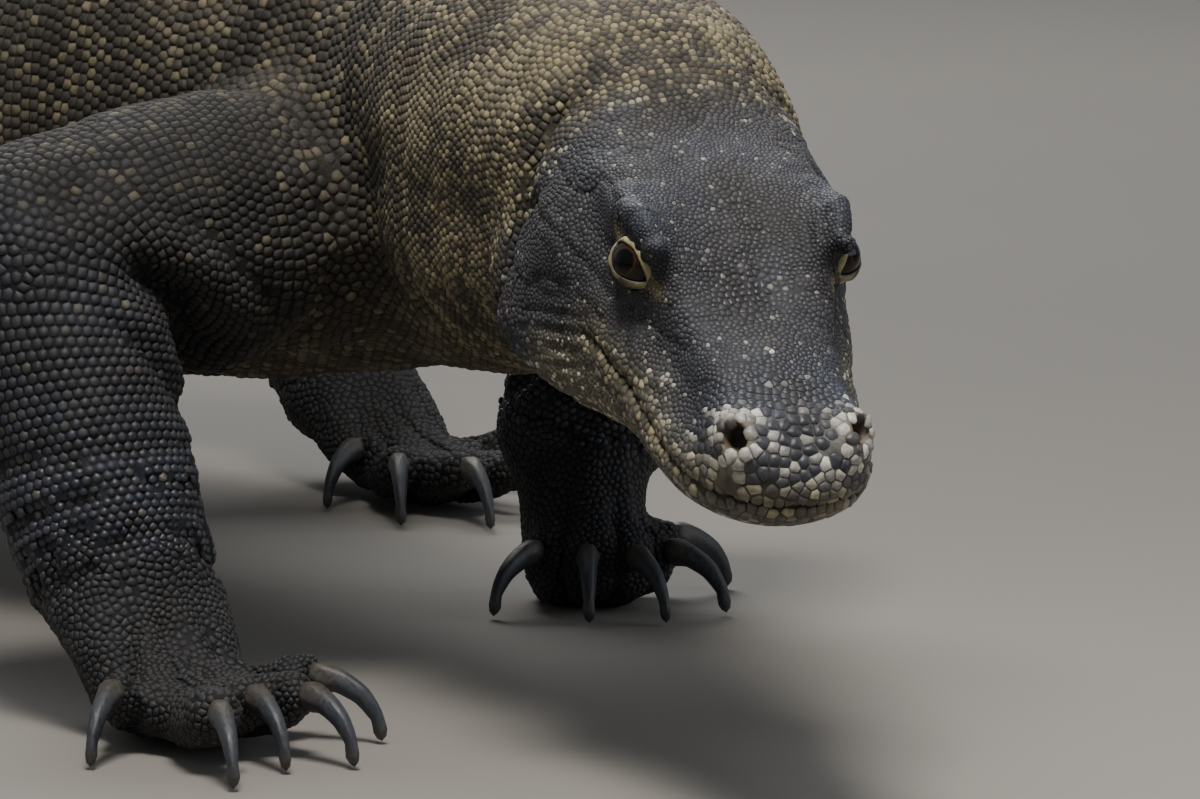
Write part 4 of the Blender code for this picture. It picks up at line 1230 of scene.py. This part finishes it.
of_head, of_jaw = (is_in(owners_of_roots, name) for name in HEAD_NODES)
of_snout, of_left = (of_head | of_jaw) & (head[:, 1] < 50 * MM), head[:, 0] > 0
coats = [
    ("scales_snout", of_snout, 8), ("scales_head_right", of_head & ~of_snout & ~of_left, 7),
    ("scales_head_left", of_head & ~of_snout & of_left, 7), ("scales_jaw", of_jaw & ~of_snout, 7),
]
coat_parts = {part: [part] for part in ("neck", "chest", "belly", "pelvis")}
coat_parts.update(tail_root=["tail_1", "tail_2"], tail_end=["tail_3", "tail_4"])
for side in SIDES:
    for end, limb in (("hand", "arm"), ("foot", "leg")):
        coat_parts[f"{side}_{limb}"] = limb_nodes(side, end)[:2]
        coat_parts[f"{side}_{end}"] = [f"{side}_{end}"]
coats += [(f"scales_{part}", is_in(owners_of_roots, *names), 6) for part, names in coat_parts.items()]
coat_triangles = sum(add_coat(name, np.flatnonzero(wanted), sides) for name, wanted, sides in coats)
print("coat:", coat_triangles, "triangles")

# %% [markdown]
# ## The eyes
#
# A fine ball has its pole along the gaze, with the cornea raised over a dark brown iris. The colours
# are rings round the gaze, and the tear film is a smooth clear coat.

# %% Eyeballs
CORNEA_RISE, CORNEA_ANGLE = 0.45 * MM, math.radians(42)
IRIS = (
    (0.0, "#010101"), (0.42, "#020202"), (0.46, "#3a2614"),
    (0.53, "#27170c"), (0.68, "#1d1008"), (0.78, "#0c0705"),
)


def mirror_of(side):
    return np.array([-1 if side == "right" else 1, 1, 1])


def eye_material(side, middle, gaze):
    """An iris round the gaze, with a wet coat."""
    wet = {"Specular_IOR_Level": 0.12, "Coat_Weight": 0.45, "Coat_Roughness": 0.02}
    material, tree, shader, place = new_material(f"wet iris, {side}", IOR=1.376, Roughness=0.12, **wet)
    turn = gaze.to_track_quat("Z", "Y").inverted()
    shift = -(turn @ middle)
    local = add_node(tree, "Mapping", Vector=place, Rotation=turn.to_euler(), Location=shift)
    parts = add_node(tree, "SeparateXYZ", Vector=local.outputs["Vector"]).outputs
    flat = add_node(tree, "CombineXYZ", X=parts["X"], Y=parts["Y"]).outputs["Vector"]
    away = calculated(tree, "LENGTH", flat, kind="VectorMath")
    streaks = calculated(tree, "NORMALIZE", flat, kind="VectorMath", output="Vector")
    wobble = calculated(tree, "MULTIPLY_ADD", noise_node(tree, streaks, 1 / 7, 3.0), 0.16, -0.08)
    share = calculated(tree, "MULTIPLY_ADD", away, 1 / EYE_RADIUS, wobble)
    tree.links.new(colour_stops(tree, share, IRIS), shader.inputs["Base Color"])
    return material


for side in SIDES:
    gaze = Vector(HEAD_AXES @ (mirror_of(side) * GAZE)).normalized()
    bpy.ops.object.select_all(action="DESELECT")
    bpy.ops.mesh.primitive_uv_sphere_add(segments=64, ring_count=48, radius=EYE_RADIUS)
    ball = bpy.context.object
    ball.name = f"{side}_eyeball"
    co = points_of(ball.data)
    angle = np.arccos(np.clip(co[:, 2] / EYE_RADIUS, -1, 1))
    rise = CORNEA_RISE * (1 - fade(0, CORNEA_ANGLE, angle))
    set_points(ball.data, co * (1 + rise / EYE_RADIUS)[:, None])
    middle = Vector(from_head(mirror_of(side) * EYE))
    ball.data.transform(Matrix.Translation(middle) @ gaze.to_track_quat("Z", "Y").to_matrix().to_4x4())
    bpy.ops.object.shade_smooth()
    ball.data.materials.append(eye_material(side, middle, gaze))
    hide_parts(f"{side}_eye")
    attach(ball, "root")
    print(ball.name, "looks along", tuple(round(x, 2) for x in gaze))

# %% [markdown]
# The lids' margins are bare and cream. A flat grid is bent into a ring: one way runs round the slit,
# the other is the lid's section, from the ball over its rounded edge to under the scales.

# %% Lid margins
LID_SECTION = np.array([
    # how far from the slit's edge in degrees, and above the ball in millimetres
    (5.0, -0.35), (0.8, -0.10), (-0.8, 0.10), (-1.0, 0.35), (0.2, 0.70), (3.0, 0.95), (7.0, 1.05),
    (12.0, 1.05), (17.0, 0.95), (22.0, 0.60), (27.0, -0.30),
])
AROUND = 120
LID_CREAM, LID_DARK = np.array(linear("#b0a57a")), np.array(linear("#1f1c1a"))
lid_skin, tree, shader, place = new_material("bare cream lid skin", Roughness=0.45, IOR=1.4)
grain = mapped(tree, noise_node(tree, place, 1.1 * MM, 4.0), 0.3, 0.7, 0.70, 1.15)
grained = scaled_colour(tree, stored(tree, "markings").outputs["Color"], grain)
tree.links.new(grained, shader.inputs["Base Color"])
beads = add_node(tree, "TexVoronoi", Vector=place, Scale=1 / (0.8 * MM)).outputs["Distance"]
raise_bumps(tree, shader, beads, 0.15 * MM, 0.5, sunk=True)
for side in SIDES:
    bpy.ops.object.select_all(action="DESELECT")
    bpy.ops.mesh.primitive_grid_add(x_subdivisions=AROUND, y_subdivisions=len(LID_SECTION) - 1, size=2)
    lid = bpy.context.object
    lid.name = f"{side}_lids"
    co = points_of(lid.data)
    turn, step = (co[:, 0] + 1) * math.pi, (co[:, 1] + 1) / 2 * (len(LID_SECTION) - 1)
    offset, lift = (np.interp(step, range(len(LID_SECTION)), column) for column in LID_SECTION.T)
    narrow = 1 - 0.25 * np.sin(turn) - 0.10 * np.cos(2 * turn)
    angle = slit_edge(turn) + np.radians(offset) * np.where(offset > 0, narrow, 1)
    lift = lift + 0.12 * np.cos(turn * 9 + 1.0) * (offset > 2) * (offset < 20)
    radial = np.cos(turn)[:, None] * SLIT_ALONG + np.sin(turn)[:, None] * SLIT_ACROSS
    direction = np.cos(angle)[:, None] * GAZE + np.sin(angle)[:, None] * radial
    ring = EYE + direction * (EYE_RADIUS + lift * MM)[:, None]
    set_points(lid.data, from_head(ring * mirror_of(side)))
    edit_all(bpy.ops.mesh.remove_doubles, threshold=1e-5)
    if side == "right":
        edit_all(bpy.ops.mesh.flip_normals)
    bpy.ops.object.shade_smooth()
    co = to_head(points_of(lid.data)) * mirror_of(side)
    _, _, angle, turn = round_eye(co)
    beyond = np.degrees(angle - slit_edge(turn))
    wide = 15 + 13 * np.sin(turn) - 6 * np.cos(turn) + 4 * noise(co, 4 * MM, 31)
    outer = slit_edge(turn, SLIT_HALF_LENGTH + math.radians(34), SLIT_HALF_HEIGHT + np.radians(wide))
    cream = fade(-0.5, 1.2, beyond) * (1 - fade(-2.0, 2.0, np.degrees(angle - outer)))
    cream *= 0.80 + 0.20 * noise(co, 3 * MM, 32)
    cream *= 1 - 0.85 * bell(np.degrees(turn) + 128, 26)
    store_colours(lid.data, mixed(LID_DARK, LID_CREAM, cream), np.full(len(co), 0.4))
    lid.data.materials.append(lid_skin)
    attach(lid, "root")
    print(lid.name, len(lid.data.polygons), "faces")

# %% [markdown]
# ## The claws
#
# A claw is dark horn with fine ridges, a dusty root and a worn tip. A copy of each solid is divided
# with smoothing on. Each point stores how far along the claw it lies, and the colour follows that.

# %% Claws
HORN = ((0.0, "#4a443c"), (0.15, "#44423e"), (0.40, "#383c42"), (0.80, "#2a2e34"), (1.0, "#3f3d3a"))
CLAW_WIDTH = 5 * MM
claw_horn, tree, shader, place = new_material("worn claw horn", IOR=1.55)
along, around = (stored(tree, name).outputs["Fac"] for name in ("claw_along", "claw_round"))
scuffs = noise_node(tree, place, 1.6 * MM, 4.0, Roughness=0.7)
tinted = scaled_colour(tree, colour_stops(tree, along, HORN), mapped(tree, scuffs, 0.35, 0.75, 0.75, 1.7))
tree.links.new(tinted, shader.inputs["Base Color"])
tree.links.new(mapped(tree, scuffs, 0.3, 0.8, 0.38, 0.66), shader.inputs["Roughness"])
stretched = add_node(tree, "CombineXYZ", X=around, Y=along).outputs["Vector"]
raise_bumps(tree, shader, noise_node(tree, stretched, 1 / 9, 3.0), 0.5 * MM, 0.5)


def float_layer(mesh, name, values):
    mesh.attributes.new(name, "FLOAT", "POINT").data.foreach_set("value", np.asarray(values, np.float32))


for (side, end, digit), (_, root) in toe_lines.items():
    node = f"{side}_{end}_claw_{digit}"
    claw = copy_of(node, f"{node}_horn")
    work_on(claw)
    edit_all(bpy.ops.mesh.remove_doubles, threshold=1e-5)
    edit_all(bpy.ops.mesh.subdivide, number_cuts=3, smoothness=0.7)
    bpy.ops.object.shade_smooth()
    co = points_of(claw.data)
    tip = co[length(co - root).argmax()]
    share = (co - root) @ (tip - root) / ((tip - root) @ (tip - root))
    off = co - root - share[:, None] * (tip - root)
    float_layer(claw.data, "claw_along", np.clip(share, 0, 1))
    float_layer(claw.data, "claw_round", off @ np.cross(unit(tip - root), [0, 0, 1]) / CLAW_WIDTH)
    claw.data.materials.append(claw_horn)
    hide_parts(node)
    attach(claw, "root")
print("claws:", len(toe_lines), "with", len(claw.data.polygons), "faces each")
